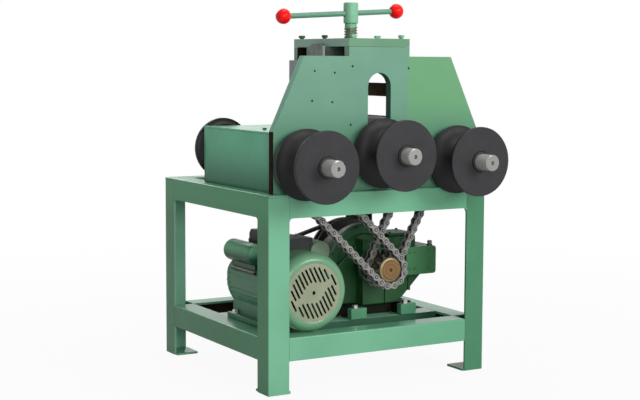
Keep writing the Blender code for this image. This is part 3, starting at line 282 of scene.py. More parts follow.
def turnedMetal(name, look, centre):
    # lathe-turned face and rim, bare or under thin black lacquer: fine rings round the axis, drawn
    # coarser than the real feed marks so that they show, with darker patches where oil has dried
    look = {**turnedLook, **look}
    material, tree, shader, where = startMaterial(name, look)
    offset = {"Vector": where, "Location": [-c for c in centre]}
    moved = addNode(tree, "Mapping", None, offset).outputs[0]
    wave = {"Vector": moved, "Scale": look["waveShare"] / look["feed"], "Distortion": 0.3,
            "Detail": 1.0, "Detail Scale": 2.0}
    axisRings = {"wave_type": "RINGS", "rings_direction": look["axis"]}
    axisBands = {"wave_type": "BANDS", "bands_direction": look["axis"]}
    rings = addNode(tree, "TexWave", axisRings, wave).outputs["Fac"]
    bands = addNode(tree, "TexWave", axisBands, wave).outputs["Fac"]
    lines = addNode(tree, "Math", {"operation": "MULTIPLY"}, {0: rings, 1: bands}).outputs[0]
    blotch = noiseShare(tree, where, look["patch"], 0.3, 0.8)
    tone = addNode(tree, "Mix", colourMix, {0: blotch, 6: look["tone"], 7: look["deep"]}).outputs[2]
    inputs = {0: lines, 1: look["lineShare"]}
    faint = addNode(tree, "Math", {"operation": "MULTIPLY"}, inputs).outputs[0]
    colour = addNode(tree, "Mix", colourMix, {0: faint, 6: tone, 7: look["line"]}).outputs[2]
    dressShader(tree, shader, look, colour, blotch, lines)
    return material


def plainFinish(name, look):
    # blotches between the two tones, and a grain raised a little
    material, tree, shader, where = startMaterial(name, look)
    blotch = noiseShare(tree, where, look["patch"], *look["blotch"])
    colour = addNode(tree, "Mix", colourMix, {0: blotch, 6: look["tone"], 7: look["deep"]}).outputs[2]
    grain = noiseShare(tree, where, look["grain"], *look["grit"])
    dressShader(tree, shader, look, colour, blotch if "glossSpread" in look else None, grain)
    return material


castLook = {
    "roughness": 0.4, "ior": 1.35, "patch": 40 * mm, "blotch": (0.3, 0.75), "grain": 2.0 * mm,
    "grit": (0.25, 0.75, 6.0), "bump": 0.2, "depth": 0.35 * mm,
}
metalLook = {
    "blotch": (0.3, 0.75), "glossSpread": (-0.06, 0.12), "grit": (0.3, 0.7, 4.0), "depth": 0.06 * mm,
}
plasticLook = {
    "patch": 30 * mm, "blotch": (0.3, 0.7, 1.0), "grit": (0.3, 0.7, 2.0), "depth": 0.08 * mm,
}


def castEnamel(name, look):
    # enamel over sand-cast iron: grainy skin, softer gloss, darker where paint sits thick
    return plainFinish(name, {**castLook, **look})


def roughMetal(name, look):
    # plain worked steel, plated or oiled: patchy tone and gloss with a fine grain
    return plainFinish(name, {**metalLook, **look})


def mouldedPlastic(name, look):
    # moulded plastic or rubber: even colour with a fine spark-eroded grain
    return plainFinish(name, {**plasticLook, **look})


# fronts of the angle iron: pale half-glossy green, with painted shade deepening it towards the right
standPaint = sprayedEnamel(
    "greenMachineEnamel", {"tone": "78B896", "deep": "71B08E", "drifts": [("X", -150, 300, "66A783")]}
)
# its left sides: a deeper copy of the green, nearly without sheen, as painted shade, lightened towards
# the top as painted light
leftSideShadePaint = sprayedEnamel(
    "greenWithPaintedShadeOnLeftSides",
    {"tone": "56996F", "deep": "4F9068", "ior": 1.2, "drifts": [("Z", 330, 410, "5AAC7B")]},
)
# upper flanges, the faces that look up: a darker, duller green
railTopPaint = sprayedEnamel(
    "dullGreenEnamelOnTop", {"tone": "649A7E", "deep": "5C9175", "roughness": 0.34, "ior": 1.2}
)
# bearers and the rear leg's flange: a paler green, painted light on faces that lie in shade
paleLitPaint = sprayedEnamel("greenWithPaintedLightOnBearer", {"tone": "93CDAE", "deep": "88C2A3"})
# their upright sides: dark green, painted shade under the front rail
shadedPaint = sprayedEnamel(
    "greenWithPaintedShadeOnBearerSides", {"tone": "2F5A43", "deep": "274D39", "roughness": 0.5}
)
# front right leg: a darker copy of the green, painted shade where the light falls off to the right
rightLegShadePaint = sprayedEnamel(
    "greenWithPaintedShadeOnRightLeg", {"tone": "4E8966", "deep": "478160", "roughness": 0.26}
)
# head plates: greyer green, yellower at the right, and darker below, painted shade near the rolls
headPaint = sprayedEnamel(
    "greyGreenMachineEnamel",
    {"tone": "729F88", "deep": "6C9982", "drifts": [("X", 70, 77, "6BA276"), ("Z", 620, 530, "5F8F76")]},
)
# fan cover: finer orange peel and a clearer gloss on pressed sheet
coverPaint = sprayedEnamel(
    "pressedSheetEnamel", {"tone": "72A27E", "deep": "6A9A77", "peel": 1.8 * mm, "ior": 1.4}
)
# brushed on over bolts, collar and hub: soft gloss, finer chips
liftedPaint = sprayedEnamel(
    "brushedEnamel", {"tone": "84BD9D", "deep": "78B191", "chip": 2.5 * mm, "roughness": 0.3}
)
# the bar's worn coat
barPaint = sprayedEnamel(
    "thinEnamelOnBar", {"tone": "66957E", "deep": "5B8A72", "chip": 2.5 * mm, "roughness": 0.3}
)
# painted highlight: pale green on edges and end faces that catch the light
edgeHighlightPaint = sprayedEnamel("greenWithPaintedHighlightOnEdges", {"tone": "9CC4B0", "deep": "91B9A5"})
# sloping shoulders of the front plate: matt, so that they show no streak of the lamp, and paler, a
# painted sheen in place of the lamp's
shoulderPaint = sprayedEnamel(
    "mattGreenWithPaintedSheenOnShoulder", {"tone": "8FC4AA", "deep": "86BAA1", "roughness": 0.7, "ior": 1.1}
)
# wall of the slot: a darker green, painted shade in the slot
slotShadePaint = sprayedEnamel(
    "greenWithPaintedShadeInSlot", {"tone": "4C7B65", "deep": "3A6450", "roughness": 0.5}
)
# top plate: a yellower green
topPaint = sprayedEnamel("yellowGreenMachineEnamel", {"tone": "6C9979", "deep": "669273"})
# sheet covers: bluer green, with painted shade deepening it towards the table
coverSheet = sprayedEnamel(
    "sheetSteelEnamel", {"tone": "82C5A2", "deep": "78BB98", "drifts": [("Z", 540, 430, "588F75")]}
)
# their left sides: a brighter copy of the green for the faces that look left, painted light, with less
# sheen, and painted shade deepening it towards the table
coverSide = sprayedEnamel(
    "sheetSteelSideEnamel",
    {"tone": "7ADBAD", "deep": "70D0A2", "ior": 1.2, "drifts": [("Z", 530, 425, "3C8B68")]},
)
# side plates: pale lavender grey
palePaint = sprayedEnamel(
    "paleLavenderGreyFinish", {"tone": "ADAEBB", "deep": "9FA0AE", "roughness": 0.45}
)
# left capacitor's can: pale green, with painted shade darkening it where it meets the motor
capacitorPaint = sprayedEnamel(
    "greenEnamelOnSteelCan",
    {"tone": "86D0A1", "deep": "7BC396", "ior": 1.2, "roughness": 0.35,
     "drifts": [("Z", 290, 265, "24503A")]},
)
# gearbox castings: dark, sandy skin
castGreen = castEnamel(
    "darkGreenEnamelOnCastIron",
    {"tone": "24532E", "deep": "1C4526", "roughness": 0.42, "grain": 1.6 * mm, "bump": 0.25},
)
# motor frame: lighter and smoother, die-cast
motorPaint = castEnamel("greenEnamelOnCastAluminium", {"tone": "4F8D6A", "deep": "447F5E"})
# underside of the gearbox: near black, painted shade under the body
underShadePaint = castEnamel(
    "paintedShadeUnderGearbox", {"tone": "16190F", "deep": "101309", "roughness": 0.6, "ior": 1.2}
)
# gearbox feet: a brighter green
footPaint = castEnamel(
    "brightGreenEnamelOnFeet", {"tone": "589572", "deep": "4E8868", "roughness": 0.35}
)
# fan cover's face: greyer, with a coarse speckle
fanFacePaint = castEnamel(
    "greyGreenEnamelFace",
    {"tone": "9A9F86", "deep": "8C957A", "roughness": 0.42, "grain": 2.6 * mm, "bump": 0.1},
)
# bolts on the top plate that the spray has left dark
darkEnamel = castEnamel(
    "blackGreenEnamel", {"tone": "2E4F40", "deep": "223D31", "roughness": 0.45, "grain": 1.6 * mm}
)
# cover over the gearbox's input shaft, a shade lighter than the castings
coverCast = castEnamel(
    "greenEnamelOnCastCover", {"tone": "43794F", "deep": "3C6F47", "grain": 1.8 * mm}
)
# flange of the capacitor's saddle: pale grey green
flangePaint = castEnamel("paleGreyGreenOnFlange", {"tone": "8FA394", "deep": "7F9585", "bump": 0.1})
# right capacitor's can, greyer and matt
canEndPaint = castEnamel(
    "greyGreenEnamelOnCan",
    {"tone": "7C9079", "deep": "6F846D", "roughness": 0.45, "grain": 2.6 * mm, "bump": 0.12},
)
# small fasteners: bright, finely mottled zinc
zincSteel = roughMetal(
    "zincPlatedSteel",
    {"tone": "C4C6C2", "deep": "A5A59F", "roughness": 0.34, "metallic": 1.0, "patch": 6 * mm,
     "grain": 0.8 * mm, "bump": 0.15},
)
# sprockets and the screw's lower end: grey steel under an oil film
darkSteel = roughMetal(
    "oiledMildSteel",
    {"tone": "6A6A6C", "deep": "4A4A4D", "roughness": 0.42, "metallic": 0.9, "patch": 22 * mm,
     "grain": 1.2 * mm, "bump": 0.2},
)
# nut block: greenish grey, hardly metallic
nutSteel = roughMetal(
    "greyPhosphatedSteel",
    {"tone": "6C7775", "deep": "4C5A55", "roughness": 0.45, "metallic": 0.3, "patch": 22 * mm,
     "grain": 1.2 * mm, "bump": 0.2},
)
# ground sides of the shafts: pale and even
shaftSide = roughMetal(
    "groundSteelSide",
    {"tone": "CFCFCD", "deep": "B2B2B0", "roughness": 0.34, "metallic": 0.3, "patch": 12 * mm,
     "grain": 0.9 * mm, "bump": 0.1},
)
# carriage: browned plate, satin
plateSteel = roughMetal(
    "brownedMildSteel",
    {"tone": "4A4340", "deep": "352F2D", "roughness": 0.5, "metallic": 0.6, "patch": 25 * mm,
     "grain": 1.5 * mm, "bump": 0.25},
)
# chain plates: mid grey, patchy with oil
chainSteel = roughMetal(
    "oiledRollerChainSteel",
    {"tone": "92928F", "deep": "6C6C6A", "roughness": 0.42, "metallic": 0.5, "patch": 9 * mm,
     "grain": 0.9 * mm, "bump": 0.15},
)
# chain pins: hard and brighter than the plates
pinSteel = roughMetal(
    "hardenedPinSteel",
    {"tone": "A2A2A0", "deep": "7C7C7A", "roughness": 0.35, "metallic": 0.8, "patch": 4 * mm,
     "grain": 0.7 * mm, "bump": 0.1},
)
# set collars, chain rollers and the output teeth: nearly black with old oil; also the dark strip under
# the capacitor's saddle, a painted shadow
oilAndShadeDark = roughMetal(
    "steelUnderOldOilAndPaintedShadow",
    {"tone": "2B2726", "deep": "1D1A1A", "roughness": 0.45, "metallic": 0.4, "patch": 8 * mm,
     "grain": 1.0 * mm, "bump": 0.2},
)
# hollow sides, gaps and insides: brown black, primer darkened as painted shade
primerUnderShade = roughMetal(
    "brownPrimerWithPaintedShade",
    {"tone": "33261F", "deep": "211813", "roughness": 0.85, "ior": 1.15, "patch": 30 * mm,
     "grain": 1.6 * mm, "bump": 0.2},
)
# inside of the right side plate: the same brown primer, paler, painted light where it sits in deep shade
litBrownPrimer = roughMetal(
    "brownPrimerWithPaintedLightOnPlate",
    {"tone": "8A7A64", "deep": "756753", "roughness": 0.85, "ior": 1.15, "patch": 30 * mm,
     "grain": 1.6 * mm, "bump": 0.1},
)
# press screw, green with grease and paint
screwSteel = roughMetal(
    "greasedScrewSteel",
    {"tone": "6C7D64", "deep": "465A46", "roughness": 0.38, "metallic": 0.6, "patch": 9 * mm,
     "grain": 1.0 * mm, "bump": 0.15},
)
# bearing bushes: warm cast bronze
bronze = roughMetal(
    "leadedBronze",
    {"tone": "B08A55", "deep": "8D6C3F", "roughness": 0.38, "metallic": 1.0, "patch": 12 * mm,
     "grain": 0.9 * mm, "bump": 0.15},
)
# rim of the output hub under yellowed varnish
oliveSteel = roughMetal(
    "varnishedTurnedSteel",
    {"tone": "8A7A4E", "deep": "6F6340", "roughness": 0.4, "metallic": 0.5, "patch": 10 * mm,
     "grain": 0.8 * mm, "bump": 0.15},
)
# pale strip on the nut block: a painted highlight where the light strikes its edge
nutHighlightStrip = roughMetal(
    "paintedHighlightOnNutBlock",
    {"tone": "C3CFC6", "deep": "A9B8AD", "roughness": 0.4, "metallic": 0.1, "patch": 6 * mm,
     "grain": 1.0 * mm, "bump": 0.1},
)
# belt pulleys: thin black paint on cast iron
pulleyPaint = roughMetal(
    "blackPaintedCastIron",
    {"tone": "2C2E2D", "deep": "222423", "roughness": 0.5, "patch": 30 * mm, "grain": 1.4 * mm,
     "bump": 0.25},
)
# the bar's balls: polished, saturated red
redBall = mouldedPlastic(
    "redPhenolic",
    {"tone": "FF120E", "deep": "F80F0B", "roughness": 0.12, "ior": 1.25, "grain": 3 * mm, "bump": 0.0},
)
# terminal box and fan: dull black with a fine grain
blackMoulding = mouldedPlastic(
    "blackPhenolicMoulding",
    {"tone": "262C29", "deep": "1D2320", "roughness": 0.45, "ior": 1.35, "grain": 0.9 * mm,
     "bump": 0.15},
)
# belt: black cloth weave over rubber
beltRubber = mouldedPlastic(
    "clothCoveredRubber",
    {"tone": "262626", "deep": "1C1C1C", "roughness": 0.75, "ior": 1.5, "grain": 1.0 * mm, "bump": 0.4},
)

# turned finishes, made once per roll and shaft so that their rings lie round its own axis
blackTurned = {
    "tone": "2F2F31", "deep": "28282A", "line": "3C3C3E", "lineShare": 0.35, "roughness": 0.5,
    "ior": 1.3, "feed": 1.9 * mm, "bump": 0.15,
}
# a darker copy: painted shade on the rims, grooves and backs of the outer halves and on the inner
# halves; also used for the spare half roll
darkTurned = {**blackTurned, "tone": "1E1E1F", "deep": "181819", "line": "29292A"}
brightTurned = {
    "tone": "9B9A98", "deep": "858381", "line": "B9B8B6", "lineShare": 0.6, "roughness": 0.27,
    "metallic": 1.0, "feed": 1.3 * mm, "bump": 0.3,
}
brownTurned = {
    "tone": "7E6140", "deep": "664D33", "line": "9C7B5A", "lineShare": 0.45, "roughness": 0.36,
    "metallic": 0.85, "feed": 1.5 * mm, "bump": 0.25,
}
print("materials made")


# shape helpers
axes = {"X": Vector((1, 0, 0)), "Y": Vector((0, 1, 0)), "Z": Vector((0, 0, 1))}
mergeGap = 0.002 * mm
squareOn = 0.9  # how squarely a face has to look along an axis to count as facing it


def cleanMesh(shape, name):
    bmesh.ops.remove_doubles(shape, verts=shape.verts, dist=mergeGap)
    bmesh.ops.recalc_face_normals(shape, faces=shape.faces)
    return meshFrom(shape, name)


def finishShape(shape, name, material, body="stand", **rest):
    return finishMesh(cleanMesh(shape, name), name, material, body, **rest)


def finishMesh(mesh, name, material, body, replaces=(), slot=None, radius=0.0, steps=2, angle=35.0):
    obj = addObject(name, mesh)
    mesh.materials.clear()
    mesh.materials.append(material)
    mesh.shade_smooth()
    mesh.set_sharp_from_angle(angle=radians(angle))
    if radius:
        bevel = obj.modifiers.new("edges", "BEVEL")
        bevel.width = radius
        bevel.segments = steps
        bevel.limit_method = "ANGLE"
        bevel.angle_limit = radians(angle)
        bevel.harden_normals = True
    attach(obj, body)
    if replaces:
        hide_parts(*replaces)
    return obj


def bodyOf(node):
    return frame["nodes"][node]["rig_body"]


def middleOf(node):
    low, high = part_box(node)
    return (low + high) / 2


def mergedShape(node):
    # the solid's own form with its doubled corners merged
    shape = bmesh.new()
    shape.from_mesh(frame["nodes"][node].data)
    bmesh.ops.remove_doubles(shape, verts=shape.verts, dist=0.01 * mm)
    bmesh.ops.dissolve_limit(shape, angle_limit=radians(0.5), verts=shape.verts, edges=shape.edges)
    return shape


def roundedCopy(node, material, radius, steps=2, shape=None, angle=35.0):
    name = node + "_finished"
    mesh = meshFrom(mergedShape(node) if shape is None else shape, name)
    return finishMesh(
        mesh, name, material, bodyOf(node), replaces=(node,), radius=radius, steps=steps, angle=angle
    )


def paintFaces(obj, material, chosen):
    # a second finish for the faces that a test of middle and direction picks
    obj.data.materials.append(material)
    for face in obj.data.polygons:
        if chosen(face.center, face.normal):
            face.material_index = len(obj.data.materials) - 1


def facesLeft(middle, facing):
    return facing.x < -squareOn


def facesFront(middle, facing):
    return facing.y < -squareOn


def facesUp(middle, facing):
    return facing.z > squareOn


def drawOut(shape, faces, reach):
    drawn = bmesh.ops.extrude_face_region(shape, geom=faces)
    moved = [v for v in drawn["geom"] if isinstance(v, bmesh.types.BMVert)]
    bmesh.ops.translate(shape, verts=moved, vec=reach)


def addPlate(shape, points, y, depth):
    # a face in the XZ plane drawn out towards +Y
    face = shape.faces.new([shape.verts.new((x, y, z)) for x, z in points])
    drawOut(shape, [face], (0, depth, 0))


def addBlock(shape, low, high):
    size = Vector(high) - Vector(low)
    place = Matrix.Translation((Vector(low) + Vector(high)) / 2) @ Matrix.Diagonal((*size, 1))
    bmesh.ops.create_cube(shape, size=1, matrix=place)


def addRod(shape, radius, length, sides, matrix):
    return bmesh.ops.create_cone(
        shape, cap_ends=True, segments=sides, radius1=radius, radius2=radius, depth=length, matrix=matrix
    )


def bevelEdges(shape, edges, offset, steps):
    bmesh.ops.bevel(
        shape, geom=edges, offset=offset, segments=steps, profile=0.5, material=-1, affect="EDGES"
    )


def turnProfile(shape, profile, centre, axis="Y", steps=72):
    # profile: radius and distance along the axis, spun right round it
    across = axes["X"] if axis == "Z" else axes["Z"]
    verts = [shape.verts.new(Vector(centre) + across * r + axes[axis] * t) for r, t in profile]
    closed = profile[0][0] > 0 and profile[-1][0] > 0
    ends = verts[1:] + verts[:1] if closed else verts[1:]
    edges = [shape.edges.new(pair) for pair in zip(verts, ends)]
    bmesh.ops.spin(
        shape, geom=verts + edges, cent=centre, axis=axes[axis], angle=tau, steps=steps, use_merge=True
    )


def turnedPiece(name, profile, centre, material, body="stand", axis="Y", steps=72, **rest):
    shape = bmesh.new()
    turnProfile(shape, profile, centre, axis, steps)
    return finishShape(shape, name, material, body, **rest)


def arcPoints(centre, radius, start, end, count):
    angles = [start + (end - start) * i / count for i in range(count + 1)]
    return [(centre[0] + radius * cos(a), centre[1] + radius * sin(a)) for a in angles]


def inMm(pairs):
    return [(r * mm, t * mm) for r, t in pairs]


# every solid starts with the stand's finish; each is then replaced by a fuller piece
for obj in frame["nodes"].values():
    obj.data.materials.clear()
    obj.data.materials.append(standPaint)


# stand
standLook = {
    "edge": 0.25 * mm,
    "corner": 2.6 * mm,
    "halfWidth": 277.3 * mm,
    "frontY": -195.35 * mm,
    "rearY": 337.65 * mm,
    "middleY": 71 * mm,
    "steel": 6.5 * mm,
    "flangeWidth": 50 * mm,
    "shortest": 100 * mm,
    "legStrip": -270 * mm,
}


def makeStandPiece(node, look):
    shape = mergedShape(node)
    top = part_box(node)[1].z

    def atCorner(edge):
        # the long outer corners of the angle iron: upright on a leg, along the top of a rail
        start, end = edge.verts[0].co, edge.verts[1].co
        middle, run = (start + end) / 2, end - start
        side = abs(abs(middle.x) - look["halfWidth"]) < mm
        face = min(abs(middle.y - look["frontY"]), abs(middle.y - look["rearY"])) < mm
        if run.length < look["shortest"]:
            return False
        if abs(run.z) > look["flangeWidth"]:
            return side and face
        return (side or face) and top - middle.z < mm

    def inside(middle, facing):
        # the hollow side of the angle iron: primer, darkened as painted shade
        inward = facing.x * middle.x + facing.y * (middle.y - look["middleY"]) < 0
        ends = (look["halfWidth"] - abs(middle.x), middle.y - look["frontY"], look["rearY"] - middle.y)
        return inward and abs(facing.z) < 0.3 and min(ends) < look["steel"]

    bevelEdges(shape, [edge for edge in shape.edges if atCorner(edge)], look["corner"], 4)
    # the front right leg in its darker copy, painted shade
    paint = rightLegShadePaint if node == "leg_front_right" else standPaint
    piece = roundedCopy(node, paint, look["edge"], 1, shape, 30.0)
    # its rounded front corner: a painted highlight
    if node == "leg_front_left":
        paintFaces(piece, edgeHighlightPaint, lambda middle, facing: facing.x < -0.6 and facing.y < -0.6)
    if node == "leg_rear_left":
        # its front flange: a painted highlight on the narrow edge at the left, and painted light on the
        # rest, which lies behind the left rail
        strip = look["legStrip"]
        paintFaces(piece, paleLitPaint, lambda m, facing: facesFront(m, facing) and m.x > strip)
        paintFaces(piece, edgeHighlightPaint, lambda m, facing: facesFront(m, facing) and m.x < strip)
    # faces that look left: the deeper copy, painted shade
    if "right" not in node:
        paintFaces(piece, leftSideShadePaint, facesLeft)
    if node.startswith("top_rail_"):
        paintFaces(piece, railTopPaint, facesUp)
    if node.startswith("lower_rail_") or node == "leg_rear_right":
        paintFaces(piece, primerUnderShade, inside)


weldLook = {
    "plateTop": 6.4 * mm,
    "beads": 9,
    "first": 9 * mm,
    "pitch": 4.2 * mm,
    "wall": 6 * mm,
    "bead": (3 * mm, 3 * mm, 2 * mm),
    "fillet": 8 * mm,
    "filletSteps": 6,
}


def makeFootWelds(stand, look):
    # a row of overlapping beads along the inside of each leg, where it stands on its foot plate
    shape = bmesh.new()
    size = Matrix.Diagonal((*look["bead"], 1))
    for side in (1, -1):
        for y, ahead in ((stand["frontY"], 1), (stand["rearY"], -1)):
            corner = Vector((side * stand["halfWidth"], y, look["plateTop"]))
            for count in range(look["beads"]):
                reach = look["first"] + look["pitch"] * count
                for across, along in ((reach, look["wall"]), (look["wall"], reach)):
                    place = Matrix.Translation(corner + Vector((-side * across, ahead * along, 0)))
                    bmesh.ops.create_icosphere(shape, subdivisions=2, radius=1, matrix=place @ size)
    finishShape(shape, "foot_weld_beads", standPaint, slot="greenPaint", angle=60)


def makeCornerFillets(stand, look):
    # weld fillets in the angle between each leg and the top rails, ground flush with the flanges
    shape = bmesh.new()
    radius, steps, low = look["fillet"], look["filletSteps"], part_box("top_rail_front")[0].z
    places = []
    for side in (-1, 1):
        for y, ahead in ((stand["frontY"], 1), (stand["rearY"], -1)):
            across, back = Vector((-side, 0, 0)), Vector((0, ahead, 0))
            flange = side * (stand["halfWidth"] - stand["flangeWidth"])
            places.append((Vector((flange, y, low)), across, back))
            corner = Vector((side * stand["halfWidth"], y + ahead * stand["flangeWidth"], low))
            places.append((corner, back, across))
    for corner, along, inward in places:
        lifted = corner + inward * 0.1 * mm
        points = [lifted + Vector((0, 0, mm)) - along * mm]
        for count in range(steps + 1):
            angle = pi / 2 * count / steps
            rise = Vector((0, 0, radius * (sin(angle) - 1)))
            points.append(lifted + along * radius * (1 - cos(angle)) + rise)
        outline = shape.faces.new([shape.verts.new(point) for point in points])
        drawOut(shape, [outline], inward * (stand["steel"] - 0.2 * mm))
    fillets = finishShape(shape, "rail_weld_fillets", standPaint, slot="greenPaint")
    # faces that look left: painted shade
    paintFaces(fillets, leftSideShadePaint, facesLeft)


for node in frame["nodes"]:
    if node.startswith(("leg_", "top_rail_", "lower_rail_")):
        makeStandPiece(node, standLook)
    elif node.startswith("bearer_"):
        # bearers: a paler green as painted light, their upright sides in painted shade
        bearer = roundedCopy(node, paleLitPaint, 1.2 * mm)
        paintFaces(bearer, shadedPaint, lambda middle, facing: abs(facing.z) < 0.5)
makeFootWelds(standLook, weldLook)
makeCornerFillets(standLook, weldLook)
print("stand made")


# head plates and covers
plateLook = {
    "edge": 0.4 * mm,
    "sheetEdge": 0.6 * mm,
    "blockEdge": 1.2 * mm,
    "slotHalf": 45 * mm,
    "slotTop": 700 * mm,
    "leftEnd": -250 * mm,
    "middleY": 10 * mm,
    "middleZ": 480 * mm,
}


def facesInward(middle, facing):
    # turned towards the middle of the box
    ahead, up = middle.y - plateLook["middleY"], middle.z - plateLook["middleZ"]
    return facing.x * middle.x + facing.y * ahead + facing.z * up < 0


def slotWall(middle, facing):
    within = abs(middle.x) < plateLook["slotHalf"] and middle.z < plateLook["slotTop"]
    return abs(facing.y) < 0.5 and within


def makeHead(look):
    frontPlate = roundedCopy("front_plate", headPaint, look["edge"])
    # wall of the slot: painted shade
    paintFaces(frontPlate, slotShadePaint, slotWall)
    # the front plate's left edge face: dark, a painted shadow of the gap beside the box
    end = look["leftEnd"]
    paintFaces(frontPlate, primerUnderShade, lambda m, facing: facesLeft(m, facing) and m.x < end)
    # its sloping shoulders: paler and matt, a painted sheen
    paintFaces(frontPlate, shoulderPaint, lambda m, facing: facing.x < -0.5 and facing.z > 0.1)
    # top plate's left end: a painted highlight
    paintFaces(roundedCopy("top_plate", topPaint, look["edge"]), edgeHighlightPaint, facesLeft)
    # rear plate's front faces: painted shade of the inside of the column
    paintFaces(roundedCopy("rear_plate", headPaint, look["sheetEdge"]), primerUnderShade, facesFront)
    # box sheets: left faces in their lit copy, inward faces in painted shade
    for node in ("box_side_left", "box_side_right", "box_cover"):
        sheet = roundedCopy(node, coverSheet, look["sheetEdge"])
        paintFaces(sheet, coverSide, facesLeft)
        paintFaces(sheet, primerUnderShade, facesInward)
    # side plates: inward faces in painted shade on the left, in a paler primer as painted light on the
    # right
    for node, primer in (("side_plate_left", primerUnderShade), ("side_plate_right", litBrownPrimer)):
        paintFaces(roundedCopy(node, palePaint, look["sheetEdge"]), primer, facesInward)
    roundedCopy("screw_nut", nutSteel, look["blockEdge"])
    roundedCopy("carriage", plateSteel, look["blockEdge"])


makeHead(plateLook)
print("head made")


# turned pieces
rollLook = {
    "radius": 75.8 * mm,
    "groove": 38 * mm,
    "halfWidth": 46.25 * mm,
    "faceGap": 0.15 * mm,
    "bore": 17.8 * mm,
    "edge": 1.4 * mm,
    "grooveEdge": 1.0 * mm,
    "grooveSweep": 0.985,
    "grooveSteps": 16,
    "recessRadius": 22.8 * mm,
    "recessDepth": 8 * mm,
    "recessEdge": 0.8 * mm,
}
spareLook = {**rollLook, "radius": 69.4 * mm, "groove": 14 * mm, "halfWidth": 24 * mm}


def makeRollHalf(node, look, facing, recess, material):
    low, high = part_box(node)
    start = low.y - look["faceGap"] if facing > 0 else high.y + look["faceGap"]
    centre = (middleOf(node).x, start, middleOf(node).z)
    full, groove, half, edge = look["radius"], look["groove"], look["halfWidth"], look["edge"]
    bore, gap, steps = look["bore"], look["faceGap"], look["grooveSteps"]
    # the quarter-round groove, ending in a broken edge at the rim
    turns = [pi / 2 * look["grooveSweep"] * i / steps for i in range(steps + 1)]
    profile = [(bore, gap)] + [(full - groove * cos(a), max(gap, groove * sin(a))) for a in turns]
    profile += [(full, groove + look["grooveEdge"]), (full, half - edge), (full - edge, half)]
    if recess:
        seat, floor, broken = look["recessRadius"], half - look["recessDepth"], look["recessEdge"]
        profile += [(seat + broken, half), (seat, half - broken), (seat, floor), (bore, floor)]
    else:
        profile += [(bore + mm, half), (bore, half - mm)]
    profile = [(r, facing * t) for r, t in profile]
    return turnedPiece(
        node + "_turned", profile, centre, material, bodyOf(node), steps=96, replaces=(node,)
    )


shaftLook = {
    "radius": 17.5 * mm,
    "chamfer": 2 * mm,
    "centreHole": [(0, 8.6), (1.5, 7.6), (1.5, 4.4), (4.2, 0)],
    "ringFront": 5 * mm,
    "ringWidth": 1.6 * mm,
    "ringDepth": 0.7 * mm,
    "collarRadius": 22.4 * mm,
    "collarProud": 2.6 * mm,
    "collarBack": 7.6 * mm,
}


def makeShaft(node, rollNode, material, look):
    low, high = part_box(node)
    centre, body = (middleOf(node).x, low.y, middleOf(node).z), bodyOf(node)
    full, chamfer, length = look["radius"], look["chamfer"], high.y - low.y
    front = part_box(rollNode)[0].y
    # retaining ring groove in front of the collar
    ring = front - low.y - look["collarProud"] - look["ringFront"]
    inner, ringEnd = full - look["ringDepth"], ring + look["ringWidth"]
    profile = inMm(look["centreHole"]) + [(full - chamfer, 0), (full, chamfer)]
    profile += [(full, ring), (inner, ring), (inner, ringEnd), (full, ringEnd)]
    profile += [(full, length - chamfer), (full - chamfer, length), (0, length)]
    shaft = turnedPiece(
        node + "_ground", profile, centre, material, body, steps=64, replaces=(node,)
    )
    paintFaces(shaft, shaftSide, lambda middle, facing: facing.y > -0.5)
    start, end = front - look["collarProud"] - low.y, front + look["collarBack"] - low.y
    outer, inner = look["collarRadius"], full + 0.02 * mm
    collar = [(inner, start), (outer - mm, start), (outer, start + mm), (outer, end), (inner, end)]
    turnedPiece(node + "_collar", collar, centre, oilAndShadeDark, body, steps=64, slot="darkSteel")


bearingLook = {"bore": 17.8 * mm, "radius": 36 * mm, "neck": 27 * mm}


def makeBearing(node, front, look):
    low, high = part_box(node)
    centre, length = (middleOf(node).x, low.y, middleOf(node).z), high.y - low.y
    bore, full, neck, half = look["bore"], look["radius"], look["neck"], length / 2
    profile = [(bore, 0), (full - mm, 0), (full, mm), (full, half - mm), (full - mm, half)]
    profile += [(neck, half), (neck, length - mm), (neck - mm, length), (bore, length)]
    if not front:
        profile = [(r, length - t) for r, t in profile]
    turnedPiece(node + "_turned", profile, centre, bronze, bodyOf(node), steps=48, replaces=(node,))


for word in ("left", "right", "middle"):
    axis = middleOf(word + "_roll_outer")
    blackRoll = turnedMetal(word + "BlackLacquerOnTurnedSteel", blackTurned, axis)
    darkRoll = turnedMetal(word + "ShadedLacquerOnTurnedSteel", darkTurned, axis)
    brightShaft = turnedMetal(word + "GroundShaftSteel", brightTurned, axis)
    outerHalf = makeRollHalf(word + "_roll_outer", rollLook, -1, True, blackRoll)
    # the outer half's rim, groove and back in the darker copy, painted shade; the inner half wholly so
    paintFaces(outerHalf, darkRoll, lambda middle, facing: facing.y > -0.3)
    makeRollHalf(word + "_roll_inner", rollLook, 1, False, darkRoll)
    makeShaft(word + "_shaft", word + "_roll_outer", brightShaft, shaftLook)
spareBlack = turnedMetal("spareBlackLacquerOnTurnedSteel", darkTurned, middleOf("rear_half_roll"))
makeRollHalf("rear_half_roll", spareLook, 1, False, spareBlack)
for word in ("left", "right"):
    makeBearing("front_bearing_" + word, True, bearingLook)
    makeBearing("rear_bearing_" + word, False, bearingLook)
print("rolls, shafts and bearings made")


# press screw and handle
screwLook = {
    "major": 15 * mm,
    "root": 12.4 * mm,
    "pitch": 6 * mm,
    # one turn of the trapezoid thread: radius, and place along the pitch
    "thread": [("root", 0), ("root", 0.34), ("major", 0.5), ("major", 0.84), ("root", 1)],
    "perTurn": 40,
    "hubGap": 0.3 * mm,
    "collarRadius": 13.7 * mm,
    "collarHeight": 11 * mm,
    "neck": 9 * mm,
    "button": 14 * mm,
    "buttonThick": 6 * mm,
}


